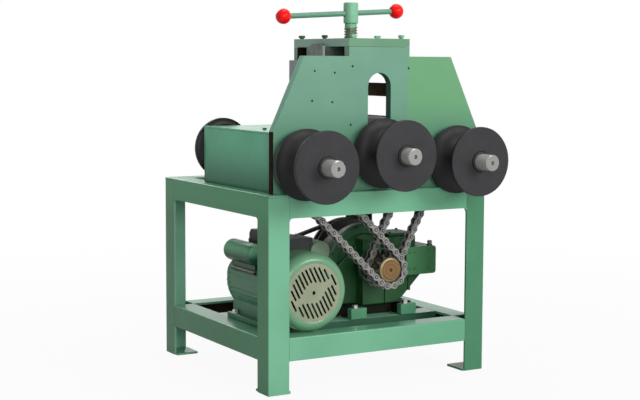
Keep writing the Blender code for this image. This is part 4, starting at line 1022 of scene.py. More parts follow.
def makePressScrew(look):
    base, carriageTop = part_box("press_screw")[0].z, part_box("carriage")[1].z
    x, y = middleOf("press_screw").x, middleOf("press_screw").y
    pitch, root = look["pitch"], look["root"]
    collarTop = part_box("screw_hub")[0].z - look["hubGap"]
    collarBase = collarTop - look["collarHeight"]
    # a whole number of turns, wound up the screw from just above the carriage
    turns = int((collarBase - carriageTop - 2 * mm) / pitch)
    start = collarBase - turns * pitch - 1.5 * mm
    shape = bmesh.new()
    profile = [(look[size], share * pitch) for size, share in look["thread"]]
    verts = [shape.verts.new((x + r, y, start + z)) for r, z in profile]
    edges = [shape.edges.new(pair) for pair in zip(verts, verts[1:])]
    bmesh.ops.spin(
        shape, geom=verts + edges, cent=(x, y, start), axis=axes["Z"], angle=tau * turns,
        steps=turns * look["perTurn"], dvec=(0, 0, pitch / look["perTurn"]),
    )
    bmesh.ops.remove_doubles(shape, verts=shape.verts, dist=0.01 * mm)
    bmesh.ops.holes_fill(shape, edges=[e for e in shape.edges if e.is_boundary], sides=0)
    finishShape(shape, "press_screw_thread", screwSteel, "screw", replaces=("press_screw",), angle=40)
    core, neckTop = root - 0.1 * mm, carriageTop - base + 0.4 * mm
    low, high = collarBase - base, collarTop - base
    button, thick, neck, full = look["button"], look["buttonThick"], look["neck"], look["collarRadius"]
    end = [(0, 0), (button - mm, 0), (button, mm), (button, thick), (neck, thick), (neck, neckTop)]
    end += [(core, neckTop), (core, low + mm), (0, low + mm)]
    turnedPiece(
        "press_screw_end", end, (x, y, base), darkSteel, "screw", "Z", 48, slot="darkSteel"
    )
    collar = [(0, low), (full - mm, low), (full, low + mm)]
    collar += [(full, high - mm), (full - mm, high), (0, high)]
    turnedPiece(
        "press_screw_collar", collar, (x, y, base), liftedPaint, "screw", "Z", 64, slot="greenPaint"
    )


handleLook = {
    "barRadius": 6 * mm,
    "hubFlare": 1.6 * mm,
    "hubDish": 6 * mm,
    "tilt": 3.4,
    "holePlay": 1.1 * mm,
    "holeLength": 60 * mm,
    "barHeight": 22.6 * mm,
    "barInBall": 12 * mm,
    "ballRadius": 17 * mm,
    "ballFlat": 8.4 * mm,
    "ballMouth": 0.86,
    "ballSteps": 30,
    "leftArm": 171 * mm,
    "rightArm": 120 * mm,
}


def cutAway(obj, cutter, angle=20.0):
    # cuts one mesh with another, after its rounded edges are in, and keeps only the result
    modifier = obj.modifiers.new("cut", "BOOLEAN")
    modifier.operation = "DIFFERENCE"
    modifier.solver = "EXACT"
    modifier.object = cutter
    bpy.context.view_layer.update()
    evaluated = obj.evaluated_get(bpy.context.evaluated_depsgraph_get())
    mesh = bpy.data.meshes.new_from_object(evaluated)
    old = obj.data
    obj.modifiers.clear()
    obj.data = mesh
    mesh.name = old.name
    bpy.data.meshes.remove(old)
    bpy.data.objects.remove(cutter, do_unlink=True)
    kept = mesh.attributes.get("custom_normal")
    if kept:
        mesh.attributes.remove(kept)
    mesh.set_sharp_from_angle(angle=radians(angle))


def looseObject(shape, name):
    return addObject(name, cleanMesh(shape, name))


def makeHandle(look):
    low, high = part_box("screw_hub")
    x, y = middleOf("screw_hub").x, middleOf("screw_hub").y
    full, flare, height, dish = (high.x - low.x) / 2, look["hubFlare"], high.z - low.z, look["hubDish"]
    profile = [
        (0, 0), (full - flare, 0), (full, flare), (full, height - flare), (full - flare, height),
        (dish, height), (dish - 2 * mm, height - mm), (0, height - mm),
    ]
    hub = turnedPiece(
        "screw_hub_turned", profile, (x, y, low.z), liftedPaint, "screw", "Z", 64,
        replaces=("screw_hub",),
    )
    # the bar's own Z runs along it
    turn = Matrix.Translation((x, y, low.z + look["barHeight"]))
    turn = turn @ Matrix.Rotation(pi / 2 - radians(look["tilt"]), 4, "Y")
    radius, ball, flat = look["barRadius"], look["ballRadius"], look["ballFlat"]
    hole = bmesh.new()
    addRod(hole, radius + look["holePlay"], look["holeLength"], 40, turn)
    cutAway(hub, looseObject(hole, "bar_hole"))
    start, end = look["barInBall"] - look["leftArm"], look["rightArm"] - look["barInBall"]
    bar = [(0, start), (radius, start), (radius, end), (0, end)]
    # a ball with a short turned flat where the bar goes in
    first, mouth, steps = asin(flat / ball), ball * look["ballMouth"], look["ballSteps"]
    turns = [first + (pi - first) * i / steps for i in range(steps + 1)]
    dome = [(ball * sin(a), ball * cos(a)) for a in turns]
    globe = [(0, mouth), (radius + 0.05 * mm, mouth), (flat, ball * cos(first)), *dome[1:]]
    mirrored = [(r, -t) for r, t in globe]
    pieces = (
        ("tommy_bar", "_drawn", bar, 0, barPaint, 40, 35),
        ("ball_left", "_moulded", globe, -look["leftArm"], redBall, 48, 50),
        ("ball_right", "_moulded", mirrored, look["rightArm"], redBall, 48, 50),
    )
    for node, ending, profile, along, material, steps, angle in pieces:
        shape = bmesh.new()
        turnProfile(shape, profile, (0, 0, along), "Z", steps)
        bmesh.ops.transform(shape, matrix=turn, verts=shape.verts)
        finishShape(shape, node + ending, material, "bar", replaces=(node,), angle=angle)


makePressScrew(screwLook)
makeHandle(handleLook)
print("screw and handle made")


# roller chains and sprockets
chainLook = {
    "pitch": 19.05 * mm,
    "driverTeeth": 12,
    "rollTeeth": 13,
    "links": {"left": 50, "right": 42},
    "rollerRadius": 5.95 * mm,
    "innerGap": 6.3 * mm,
    "plate": 1.8 * mm,
    "plateEdge": 0.35 * mm,
    "outerGap": 0.15 * mm,
    "innerHeight": 17.2 * mm,
    "outerHeight": 15.4 * mm,
    "waist": 0.31,
    "sweep": 122,
    "pinRadius": 2.6 * mm,
    "ringRadius": 4.3 * mm,
    "pinReach": 11.3 * mm,
}
driver = middleOf("output_sprocket")


def pitchRadius(teeth):
    return chainLook["pitch"] / (2 * sin(pi / teeth))


def chainRoute(rollX, rollZ, links):
    # pin places round both sprockets, and the turn of each sprocket that its rollers seat in
    small, large = pitchRadius(chainLook["driverTeeth"]), pitchRadius(chainLook["rollTeeth"])
    rise = Vector((rollX - driver.x, rollZ - driver.z))
    heading = -Vector((1, 0)).angle_signed(rise)
    lean = asin((large - small) / rise.length)
    run = sqrt(rise.length ** 2 - (large - small) ** 2)
    pitch = chainLook["pitch"]
    perRoll, perDriver = tau / chainLook["rollTeeth"], tau / chainLook["driverTeeth"]
    parts = [run, pitch * (pi + 2 * lean) / perRoll, run, pitch * (pi - 2 * lean) / perDriver]
    step = sum(parts) / links
    near, far = heading - pi / 2 - lean, heading + pi / 2 + lean
    driverPoint = Vector((driver.x, driver.z))
    rollPoint = Vector((rollX, rollZ))

    def around(centre, radius, angle):
        return centre + Vector((cos(angle), sin(angle))) * radius

    pins, turns = [], {}
    for link in range(links):
        along = link * step
        part = 0
        while along > parts[part]:
            along -= parts[part]
            part += 1
        share = along / parts[part]
        if part == 0:
            pins.append(around(driverPoint, small, near).lerp(around(rollPoint, large, near), share))
        elif part == 1:
            angle = near + along / pitch * perRoll
            turns.setdefault("roll", angle)
            pins.append(around(rollPoint, large, angle))
        elif part == 2:
            pins.append(around(rollPoint, large, far).lerp(around(driverPoint, small, far), share))
        else:
            angle = far + along / pitch * perDriver
            turns.setdefault("driver", angle)
            pins.append(around(driverPoint, small, angle))
    return pins, turns


def platePattern(height, look):
    # a figure-eight link plate along +X from one pin to the next, its inner face at y = 0
    half, waist, pitch, thick = height / 2, height * look["waist"], look["pitch"], look["plate"]
    sweep = radians(look["sweep"])
    outline = arcPoints((pitch, 0), half, -sweep, sweep, 9) + [(pitch / 2, waist)]
    outline += arcPoints((0, 0), half, pi - sweep, pi + sweep, 9) + [(pitch / 2, -waist)]
    shape = bmesh.new()
    addPlate(shape, outline, 0, thick)
    bmesh.ops.recalc_face_normals(shape, faces=shape.faces)
    outer = [e for e in shape.edges if all(abs(v.co.y - thick) < 0.01 * mm for v in e.verts)]
    bevelEdges(shape, outer, look["plateEdge"], 1)
    return meshFrom(shape, "plate_pattern")


def stampMesh(shape, pattern, matrix):
    # adds a copy of a pattern mesh at a place
    before = len(shape.verts)
    shape.from_mesh(pattern)
    shape.verts.ensure_lookup_table()
    bmesh.ops.transform(shape, matrix=matrix, verts=shape.verts[before:])


def makeChain(word, pins, planeY, look):
    inner, outer = platePattern(look["innerHeight"], look), platePattern(look["outerHeight"], look)
    kinds = (
        ("inner_plates", inner, look["innerGap"]),
        ("outer_plates", outer, look["innerGap"] + look["plate"] + look["outerGap"]),
    )
    finishes = {
        "inner_plates": chainSteel, "outer_plates": chainSteel, "rollers": oilAndShadeDark, "pins": pinSteel,
        "rings": oilAndShadeDark,
    }
    shapes = {name: bmesh.new() for name in finishes}
    reach, radius = look["pinReach"], look["pinRadius"]
    pin = [(0, reach), (radius - 0.6 * mm, reach), (radius, reach - 0.7 * mm)]
    pin += [(r, -t) for r, t in reversed(pin)]
    ring, ringReach = look["ringRadius"], reach - 0.9 * mm
    oil = [(0, ringReach), (ring, ringReach), (ring, -ringReach), (0, -ringReach)]
    for index, start in enumerate(pins):
        run = pins[(index + 1) % len(pins)] - start
        spin = Matrix.Rotation(Vector((1, 0)).angle_signed(run), 4, "Y")
        stretch = Matrix.Diagonal((run.length / look["pitch"], 1, 1, 1))
        name, pattern, near = kinds[index % 2]
        for side in (1, -1):
            place = Matrix.Translation((start.x, planeY + side * near, start.y))
            flip = Matrix.Diagonal((1, side, 1, 1))
            stampMesh(shapes[name], pattern, place @ spin @ stretch @ flip)
        centre = (start.x, planeY, start.y)
        turn = Matrix.Translation(centre) @ spin @ Matrix.Rotation(pi / 2, 4, "X")
        addRod(shapes["rollers"], look["rollerRadius"], 2 * look["innerGap"] - 0.2 * mm, 16, turn)
        turnProfile(shapes["pins"], pin, centre, "Y", 12)
        turnProfile(shapes["rings"], oil, centre, "Y", 14)
    node = word + "_chain"
    for name, shape in shapes.items():
        first = name == "inner_plates"
        finishShape(
            shape, node + "_" + name, finishes[name], replaces=(node,) if first else (),
            slot=None if first else "chainSteel",
        )


sprocketLook = {
    "thick": 10.8 * mm,
    "seatPlay": 0.5 * mm,
    "seatSweep": 62,
    "tipRise": 4.6 * mm,
    # points of one tooth: share of the tooth's own turn, and how far below the tip
    "tooth": [(-0.17, 1.2), (-0.09, 0), (0.09, 0), (0.17, 1.2)],
    "edge": 0.7 * mm,
    "hubRadius": 27 * mm,
    "outputFace": 21.5 * mm,
    "outputRadius": 27.9 * mm,
    # centre hole, then a shallow turned ring that parts the shaft end from the hub round it
    "outputFront": [(0, 7), (1.6, 6), (1.6, 3.4), (4, 0), (12.4, 0), (12.6, 0.5), (13.4, 0.5),
                    (13.6, 0)],
}


def toothedDisc(shape, teeth, turn, centre, look):
    # seats for the rollers and rounded teeth between, drawn out along Y
    radius, seat = pitchRadius(teeth), chainLook["rollerRadius"] + look["seatPlay"]
    sweep, x, y, z = radians(look["seatSweep"]), *centre
    points = []
    for tooth in range(teeth):
        angle = turn + tau * tooth / teeth
        place = (radius * cos(angle), radius * sin(angle))
        points += arcPoints(place, seat, angle + pi + sweep, angle + pi - sweep, 6)
        for swing, below in look["tooth"]:
            reach = radius + look["tipRise"] - below * mm
            aim = angle + pi / teeth + swing * tau / teeth
            points.append((reach * cos(aim), reach * sin(aim)))
    addPlate(shape, [(x + px, z + pz) for px, pz in points], y - look["thick"] / 2, look["thick"])


def makeSprockets(look):
    teeth = bmesh.new()
    for word in ("left", "right"):
        axis, planeY = middleOf(word + "_roll_outer"), middleOf(word + "_chain").y
        pins, turns = chainRoute(axis.x, axis.z, chainLook["links"][word])
        makeChain(word, pins, planeY, chainLook)
        node, centre = word + "_sprocket", (axis.x, planeY, axis.z)
        shape = bmesh.new()
        toothedDisc(shape, chainLook["rollTeeth"], turns["roll"], centre, look)
        hub, end = look["hubRadius"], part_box(node)[1].y - planeY
        profile = [(0, 0), (hub, 0), (hub, end - mm), (hub - mm, end), (0, end)]
        turnProfile(shape, profile, centre, "Y", 56)
        finishShape(
            shape, node + "_cut", darkSteel, bodyOf(node), replaces=(node,), radius=look["edge"], steps=1
        )
        toothedDisc(teeth, chainLook["driverTeeth"], turns["driver"], (driver.x, planeY, driver.z), look)
    finishShape(
        teeth, "output_sprocket_teeth", oilAndShadeDark, "output", radius=look["edge"], steps=1,
        slot="darkSteel",
    )
    low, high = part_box("output_sprocket")
    length, face, full = high.y - low.y, look["outputFace"], look["outputRadius"]
    profile = inMm(look["outputFront"])
    profile += [(face - mm, 0), (face, mm), (face + 0.6 * mm, 1.6 * mm), (full - mm, 2.2 * mm)]
    profile += [(full, 3 * mm), (full, length), (0, length)]
    hub = turnedPiece(
        "output_hub_turned", profile, (driver.x, low.y, driver.z),
        turnedMetal("brownedTurnedSteel", brownTurned, driver), "output", replaces=("output_sprocket",),
    )

    def onRim(middle, facing):
        return (middle.x - driver.x) ** 2 + (middle.z - driver.z) ** 2 > face ** 2

    paintFaces(hub, oliveSteel, onRim)


makeSprockets(sprocketLook)
print("chains and sprockets made")


# fasteners
boltHead = {"corner": 0.22, "inset": 0.9, "turn": 0.3}


def addHexBolt(shape, seat, axis, look, turned=boltHead["turn"]):
    # washer, a little bare shank and a hex head with turned corners, standing on a face
    washer, shank, wide = look["washer"], look["shank"], look["washerRadius"]
    rise = washer + look["proud"]
    if washer:
        turnProfile(shape, [(shank, 0), (wide, 0), (wide, washer), (shank, washer)], seat, axis, 24)
    if look["proud"]:
        turnProfile(shape, [(0, -mm), (shank, -mm), (shank, rise + mm), (0, rise + mm)], seat, axis, 16)
    out, radius, corner = axes[axis], look["width"] / sqrt(3), look["height"] * boltHead["corner"]
    depth = look["height"] - corner
    turn = axes["Z"].rotation_difference(out).to_matrix().to_4x4() @ Matrix.Rotation(turned, 4, "Z")
    place = Matrix.Translation(Vector(seat) + out * (rise + depth / 2))
    made = addRod(shape, radius, depth, 6, place @ turn)
    faces = {face for vert in made["verts"] for face in vert.link_faces}
    top = max(faces, key=lambda face: face.calc_center_median().dot(out))
    bmesh.ops.inset_region(shape, faces=[top], thickness=corner * boltHead["inset"], depth=corner)


def addScrew(shape, seat, axis, facing, radius):
    # cheese-head screw with a round socket
    rise, floor, bore = radius * 0.8, radius * 0.5, radius * 0.45
    profile = [(0, floor), (bore, floor), (bore, rise), (radius * 0.85, rise)]
    profile += [(radius, rise * 0.8), (radius, 0)]
    turnProfile(shape, [(r, facing * t) for r, t in profile], seat, axis, 20)


topBolt = {
    "width": 13 * mm, "height": 5.6 * mm, "washer": 0, "washerRadius": 0, "proud": 2.6 * mm,
    "shank": 4.6 * mm,
}
footBolt = {
    "width": 13 * mm, "height": 6.5 * mm, "washer": 1.6 * mm, "washerRadius": 9 * mm, "proud": 0,
    "shank": 4 * mm,
}
shieldBolt = {**topBolt, "width": 8 * mm, "height": 4 * mm, "proud": 0}


# fasteners of the head
headLook = {
    "boltReach": 61 * mm,
    "boltTurns": (0.35, 0.5, 0.2),
    "leftRows": (-172.95 * mm, -50 * mm, 54 * mm),
    "rightRows": (-172.95 * mm, -76 * mm, 54 * mm),
    "holeRadius": 2.5 * mm,
    "holes": [(-161.3, 682), (-112.3, 678), (-68.3, 692), (74.7, 688), (-167.3, 619), (-118.3, 616),
              (-72.3, 567)],
    "boxScrew": (-202.3 * mm, -33.4 * mm),
    "boxScrewRadius": 4.5 * mm,
    "stripWidth": 8.5 * mm,
    "stripTop": 6 * mm,
}


def makeHeadFasteners(look):
    cutter = bmesh.new()
    plateY, top = middleOf("front_plate").y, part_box("top_plate")[1].z
    for x, z in inMm(look["holes"]):
        place = Matrix.Translation((x, plateY, z)) @ Matrix.Rotation(pi / 2, 4, "X")
        addRod(cutter, look["holeRadius"], 40 * mm, 20, place)
    cutAway(bpy.data.objects["front_plate_finished"], looseObject(cutter, "plate_holes"))
    # the two rear bolts of the left row stayed dark
    painted, bare = bmesh.new(), bmesh.new()
    first, perRow, perSide = look["boltTurns"]
    for side, rows in ((-1, look["leftRows"]), (1, look["rightRows"])):
        for row, y in enumerate(rows):
            shape = bare if side < 0 and row > 0 else painted
            seat = (side * look["boltReach"], y, top)
            addHexBolt(shape, seat, "Z", topBolt, first + perRow * row + perSide * side)
    finishShape(painted, "top_bolts_painted", liftedPaint, slot="greenPaint")
    finishShape(bare, "top_bolts_dark", darkEnamel, slot="darkGreenPaint")
    shape = bmesh.new()
    addScrew(shape, (*look["boxScrew"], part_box("box_cover")[1].z), "Z", 1, look["boxScrewRadius"])
    finishShape(shape, "box_cover_screw", darkSteel, slot="darkSteel")
    # a pale strip on the front of the nut block's left end: a painted highlight
    low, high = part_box("screw_nut")
    far = (low.x + mm, low.y + look["stripWidth"], high.z - look["stripTop"])
    shape = bmesh.new()
    addBlock(shape, (low.x - 0.6 * mm, low.y, low.z), far)
    finishShape(shape, "nut_block_highlight_strip", nutHighlightStrip, slot="greyIron")


makeHeadFasteners(headLook)
print("head fasteners made")


# gearbox: bare pairs and triples are millimetres from the output shaft's centre on the front face
gearboxLook = {
    "front": 137.6 * mm - 195.35 * mm,
    "rearInset": 24 * mm,
    "floorRise": 26 * mm,
    "setBack": 30 * mm,
    "round": 3.5 * mm,
    "bodyTop": [(137, -26), (163, -26), (163, 39), (30, 39), (-25, 62)],
    "caseRadius": 93 * mm,
    "neckRadius": 66 * mm,
    "caseRim": 5 * mm,
    "caseFront": 40 * mm,
    "caseScrews": 12,
    "frontScrews": [(-35, -20, 0), (-66, -38, 30)],
    "cap": [(0, -21), (33, -21), (36, -19.5), (37, -16), (37, -7), (40, -5), (40, 2), (0, 2)],
    "tower": ((50, 12, 20), (128, 92, 63)),
    "lid": ((54, 15, 62.9), (124, 89, 68.6)),
    "lidScrews": [(60, 21, 68.6), (60, 83, 68.6), (118, 21, 68.6), (118, 83, 68.6)],
    "fillerSeat": (153, -7, 39),
    "filler": [(0, 11), (4.5, 11), (5.6, 10), (5.6, 5), (4.4, 4.6), (4.4, 3.4), (6.4, 3), (6.4, -1),
               (0, -1)],
    # middle, top, and how far above the body's floor it starts
    "ribs": [(36, -38, 2), (100, -34, 26)],
    "feet": (-49, 85),
    "footHalf": 21 * mm,
    "footDeep": 18 * mm,
    "footHigh": 25 * mm,
    "underShade": (-24 * mm, 64 * mm),
    "coverRound": 7 * mm,
    "coverScrews": [(89.5, -12), (89.5, 26.5), (104.3, -12), (104.3, 26.5), (141.8, -12), (141.8, 26.5)],
}


def castPiece(shape, name, **rest):
    finishShape(shape, name, castGreen, slot="darkGreenPaint", **rest)


def makeGearCase(look, base, rear, down):
    # down is the floor of the body, below the shaft
    x, front, z = base
    full, rim, neck, broken = look["caseRadius"], look["caseRim"], look["neckRadius"], look["round"]
    # main body, its front face nearest the chains, with the shaft block on the right
    points = [(-25 * mm, down), (66 * mm, down), (84 * mm, down + 12 * mm), *inMm(look["bodyTop"])]
    shape = bmesh.new()
    addPlate(shape, [(x + px, z + pz) for px, pz in points], front, rear - front)
    finishShape(
        shape, "gearbox_body", castGreen, replaces=("gearbox_housing",), radius=broken, steps=3, angle=20
    )
    # left part, set back behind the chains
    points = [(-76 * mm, down), (-20 * mm, down), (-20 * mm, 50 * mm), (-76 * mm, 0)]
    start = front + look["setBack"]
    shape = bmesh.new()
    addPlate(shape, [(x + px, z + pz) for px, pz in points], start, rear - start)
    castPiece(shape, "gearbox_side", radius=broken, steps=3, angle=20)
    # round gear case with a flange, a raised centre and its rim of screws
    start = front + look["caseFront"]
    depth = rear - start
    profile = [
        (0, -4 * mm), (full - 26 * mm, -4 * mm), (full - 22 * mm, 0), (full - rim - mm, 0),
        (full - rim, 0.6 * mm), (full, 1.6 * mm), (full, 20 * mm), (full - 2 * mm, 22 * mm),
        (neck, 24 * mm), (neck, depth - mm), (neck - mm, depth), (0, depth),
    ]
    shape = bmesh.new()
    turnProfile(shape, profile, (x, start, z), steps=96)
    castPiece(shape, "gearbox_case", angle=30)
    shape = bmesh.new()
    reach, count = full - 7 * mm, look["caseScrews"]
    for turn in range(count):
        angle = tau * turn / count + 0.2
        addScrew(shape, (x + reach * cos(angle), start, z + reach * sin(angle)), "Y", -1, 3.4 * mm)
    for across, up, back in look["frontScrews"]:
        addScrew(shape, base + Vector((across, back, up)) * mm, "Y", -1, 3 * mm)
    castPiece(shape, "gearbox_case_screws")
    # bearing cap round the output shaft
    shape = bmesh.new()
    turnProfile(shape, inMm(look["cap"]), base)
    castPiece(shape, "gearbox_output_cap")


def makeGearTop(look, base, down):
    # top housing with a lid, its screws and the filler
    for name, corners, radius, steps in (("top_housing", "tower", 6, 4), ("lid", "lid", 2, 3)):
        shape = bmesh.new()
        addBlock(shape, *[base + Vector(corner) * mm for corner in look[corners]])
        castPiece(shape, "gearbox_" + name, radius=radius * mm, steps=steps)
    shape = bmesh.new()
    for seat in look["lidScrews"]:
        addScrew(shape, base + Vector(seat) * mm, "Z", 1, 3.2 * mm)
    castPiece(shape, "gearbox_lid_screws")
    seat = base + Vector(look["fillerSeat"]) * mm
    turnedPiece(
        "gearbox_filler", inMm(look["filler"]), seat, darkSteel, "stand", "Z", 32, slot="darkSteel"
    )
    # stiffening ribs on the front of the body
    shape = bmesh.new()
    for across, top, lift in look["ribs"]:
        low = base + Vector(((across - 3) * mm, -3.5 * mm, down + lift * mm))
        addBlock(shape, low, base + Vector((across + 3, 4, top)) * mm)
    castPiece(shape, "gearbox_ribs", radius=1.5 * mm, steps=3)


def makeGearFeet(look, base, rear, floor):
    # cast feet, each held by a nut front and back, with dark blocks between them, painted shade under
    # the body
    low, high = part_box("gearbox_housing")
    deep, rise = look["footDeep"], low.z + look["footHigh"]
    feet, underShade, nuts = bmesh.new(), bmesh.new(), bmesh.new()
    for across in look["feet"]:
        middle = base.x + across * mm
        left, right = middle - look["footHalf"], middle + look["footHalf"]
        start, end = low.y + deep - mm, high.y - deep + mm
        addBlock(underShade, (left + 3 * mm, start, low.z), (right - 3 * mm, end, floor + 2 * mm))
        for start in (low.y, high.y - deep):
            addBlock(feet, (left, start, low.z), (right, start + deep, rise))
            addHexBolt(nuts, (middle - 6 * mm, start + deep / 2, rise), "Z", footBolt)
    left, right = [base.x + side for side in look["underShade"]]
    addBlock(underShade, (left, base.y + 16 * mm, low.z + 2 * mm), (right, rear - 8 * mm, floor + 2 * mm))
    finishShape(feet, "gearbox_feet", footPaint, radius=2.2 * mm, steps=3, slot="paleGreenPaint")
    finishShape(underShade, "gearbox_under_shade", underShadePaint, radius=2 * mm, steps=2, slot="darkGreenPaint")
    finishShape(nuts, "gearbox_foot_nuts", zincSteel, slot="brightSteel")


def makeGearCover(look, base):
    # flat cover over the input shaft, with six screws
    low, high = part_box("gearbox_front_cover")
    shape = bmesh.new()
    addBlock(shape, low, high)
    along = [e for e in shape.edges if abs((e.verts[0].co - e.verts[1].co).y) > mm]
    bevelEdges(shape, along, look["coverRound"], 6)
    finishShape(
        shape, "gearbox_front_cover_plate", coverCast, replaces=("gearbox_front_cover",),
        radius=1.6 * mm, steps=3, angle=50,
    )
    shape = bmesh.new()
    for across, up in inMm(look["coverScrews"]):
        addScrew(shape, (base.x + across, low.y, base.z + up), "Y", -1, 2.6 * mm)
    finishShape(shape, "gearbox_front_cover_screws", coverCast, slot="darkGreenPaint")


def makeGearbox(look):
    low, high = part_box("gearbox_housing")
    base = Vector((driver.x, look["front"], driver.z))
    rear, floor = high.y - look["rearInset"], low.z + look["floorRise"]
    makeGearCase(look, base, rear, floor - base.z)
    makeGearTop(look, base, floor - base.z)
    makeGearFeet(look, base, rear, floor)
    makeGearCover(look, base)


makeGearbox(gearboxLook)
print("gearbox made")


# motor
motor = middleOf("rotor_shaft")
motorLook = {
    "front": 104 * mm - 195.35 * mm,
    "length": 186 * mm,
    "radius": 74.6 * mm,
    "ribs": 40,
    "ribHeight": 1.2 * mm,
    "footReach": 60 * mm,
    "footWidth": 30 * mm,
    "footThick": 12 * mm,
    "footBolts": (24 * mm, 26 * mm),
    "webDrop": 30 * mm,
    # middle of the rear shield, from the taper inwards
    "shield": [(52, 15), (36, 21.7), (24, 21.7), (24, 19), (12.6, 19), (12.6, 0), (0, 0)],
    "boltInset": 9 * mm,
}


def makeMotorBody(look):
    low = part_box("motor_body")[0]
    x, z, front, length = motor.x, motor.z, look["front"], look["length"]
    end, middle = front + length, Vector((x, front, z))
    place = Matrix.Translation(middle) @ Matrix.Rotation(pi / 2, 4, "X")
    shape = bmesh.new()
    made = bmesh.ops.create_circle(
        shape, cap_ends=True, segments=4 * look["ribs"], radius=look["radius"], matrix=place
    )
    grown = 1 + look["ribHeight"] / look["radius"]
    for index, vert in enumerate(made["verts"]):
        if index % 4 < 2:
            vert.co = middle + (vert.co - middle) * grown
    drawOut(shape, shape.faces[:], (0, length, 0))
    finishShape(
        shape, "motor_frame_ribbed", motorPaint, replaces=("motor_body",), radius=0.4 * mm, angle=25
    )
    # end shields: a plain band in front, a stepped and tapered one behind
    full = look["radius"] + look["ribHeight"]
    band = [(0, -0.5 * mm), (full - 1.5 * mm, -0.5 * mm), (full, mm), (full, 9 * mm)]
    band += [(full - 2 * mm, 11 * mm), (0, 11 * mm)]
    rear = [(0, -10 * mm), (full, -10 * mm), (full, -1.5 * mm), (full - 2 * mm, 0), (full - 6 * mm, 0)]
    rear += [(full - 12 * mm, 6 * mm), *inMm(look["shield"])]
    for name, profile, y in (("motor_front_ring", band, front), ("motor_rear_shield", rear, end)):
        turnedPiece(name, profile, (x, y, z), motorPaint, steps=96, slot="greenPaint")
    # feet, webs and their bolts
    shape, bolts = bmesh.new(), bmesh.new()
    half, thick = look["footWidth"] / 2, look["footThick"]
    first, last = look["footBolts"]
    for side in (-1, 1):
        foot = x + side * look["footReach"]
        addBlock(shape, (foot - half, front, low.z), (foot + half, end, low.z + thick))
        left, right = sorted((foot, foot - side * thick))
        addBlock(shape, (left, front, low.z + thick / 2), (right, end, z - look["webDrop"]))
        for y in (front + first, end - last):
            addHexBolt(bolts, (foot + side * 6 * mm, y, low.z + thick), "Z", footBolt)
    finishShape(shape, "motor_feet", motorPaint, radius=2 * mm, steps=3, slot="greenPaint")
    finishShape(bolts, "motor_foot_bolts", zincSteel, slot="brightSteel")
    shape = bmesh.new()
    reach = full - look["boltInset"]
    for turn in range(4):
        angle = tau * turn / 4 + pi / 4
        seat = (x + reach * cos(angle), end + 2.8 * mm, z + reach * sin(angle))
        addHexBolt(shape, seat, "Y", shieldBolt)
    finishShape(shape, "motor_shield_bolts", zincSteel, slot="brightSteel")


fanCoverLook = {
    "radius": 86.4 * mm,
    "faceRadius": 64 * mm,
    "wall": 1.8 * mm,
    "dome": 25 * mm,
    "hole": 4.2 * mm,
    "slotReach": 56 * mm,
    "slotHalf": 2.4 * mm,
    "slotPitch": 10 * mm,
    "slotLean": 27.0,
    "slotStarts": [7.2, 6.8, 11.5, 16.8, 21.7, 21.7, 16.8, 11.5, 6.8, 7.2],
    "edgeSlot": 13.7 * mm,
}


def makeFanCover(look):
    low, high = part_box("fan_cover")
    x, z, hole = motor.x, motor.z, look["hole"]
    face, full, wall, dome, depth = (
        look["faceRadius"], look["radius"], look["wall"], look["dome"], high.y - low.y
    )
    # pressed rim: flat land, big outer curve, straight skirt, with a rolled edge
    land, turns = face + 3 * mm, [pi / 2 * i / 12 for i in range(1, 13)]
    outer = [(face, 0.9 * mm), (face + 2 * mm, 0)]
    outer += [(land + (full - land) * sin(a), dome * (1 - cos(a))) for a in turns]
    inner = [(r - wall if r > face + 4 * mm else r, t + wall) for r, t in outer] + [(full - wall, depth)]
    outer += [(full, depth - 2 * mm), (full - 0.6 * mm, depth)]
    turnedPiece(
        "fan_cover_rim", outer + inner[::-1], (x, low.y, z), coverPaint, steps=120,
        replaces=("fan_cover",), angle=40,
    )
    profile = [(hole, 0.6 * mm), (face, 0.6 * mm), (face, 2.2 * mm), (hole, 2.2 * mm)]
    disc = turnedPiece(
        "fan_cover_face", profile, (x, low.y, z), fanFacePaint, steps=120, angle=40,
        slot="paleGreenPaint",
    )
    # slots in two bands that lean, and one short slot beside each
    spans, last = [], len(look["slotStarts"]) - 1
    for column, start in enumerate(look["slotStarts"]):
        offset = (column - last / 2) * look["slotPitch"]
        spans.append((offset, start * mm, sqrt(look["slotReach"] ** 2 - offset ** 2)))
    spans.append(((last / 2 + 1) * look["slotPitch"], -look["edgeSlot"], look["edgeSlot"]))
    half, lean = look["slotHalf"], Matrix.Rotation(-radians(look["slotLean"]), 4, "Y")
    cutter = bmesh.new()
    for offset, start, end in spans:
        for band in (-1, 1):
            across, middle, reach = band * offset, band * (start + end) / 2, (end - start) / 2 - half
            ends = arcPoints((across, middle + reach), half, 0, pi, 6)
            ends += arcPoints((across, middle - reach), half, pi, tau, 6)
            addPlate(cutter, ends, -10 * mm, 20 * mm)
    place = Matrix.Translation((x, low.y, z)) @ lean
    bmesh.ops.transform(cutter, matrix=place, verts=cutter.verts)
    cutAway(disc, looseObject(cutter, "fan_slots"))
    shape = bmesh.new()
    for turn in range(4):
        angle = tau * turn / 4 + 0.5
        place = Matrix.Translation((x + full * cos(angle), high.y - 9 * mm, z + full * sin(angle)))
        bmesh.ops.create_uvsphere(shape, u_segments=20, v_segments=12, radius=3.6 * mm, matrix=place)
    finishShape(shape, "fan_cover_screws", zincSteel, slot="brightSteel")


capacitorLook = {
    "radius": 24.4 * mm,
    "round": 6 * mm,
    "lip": 1.6 * mm,
    "seam": 1.0 * mm,
    "saddleX": -231 * mm,
    "saddleReach": 18 * mm,
    "flange": (238.4 * mm, 241.6 * mm),
    "flangeEnd": 74 * mm,
}


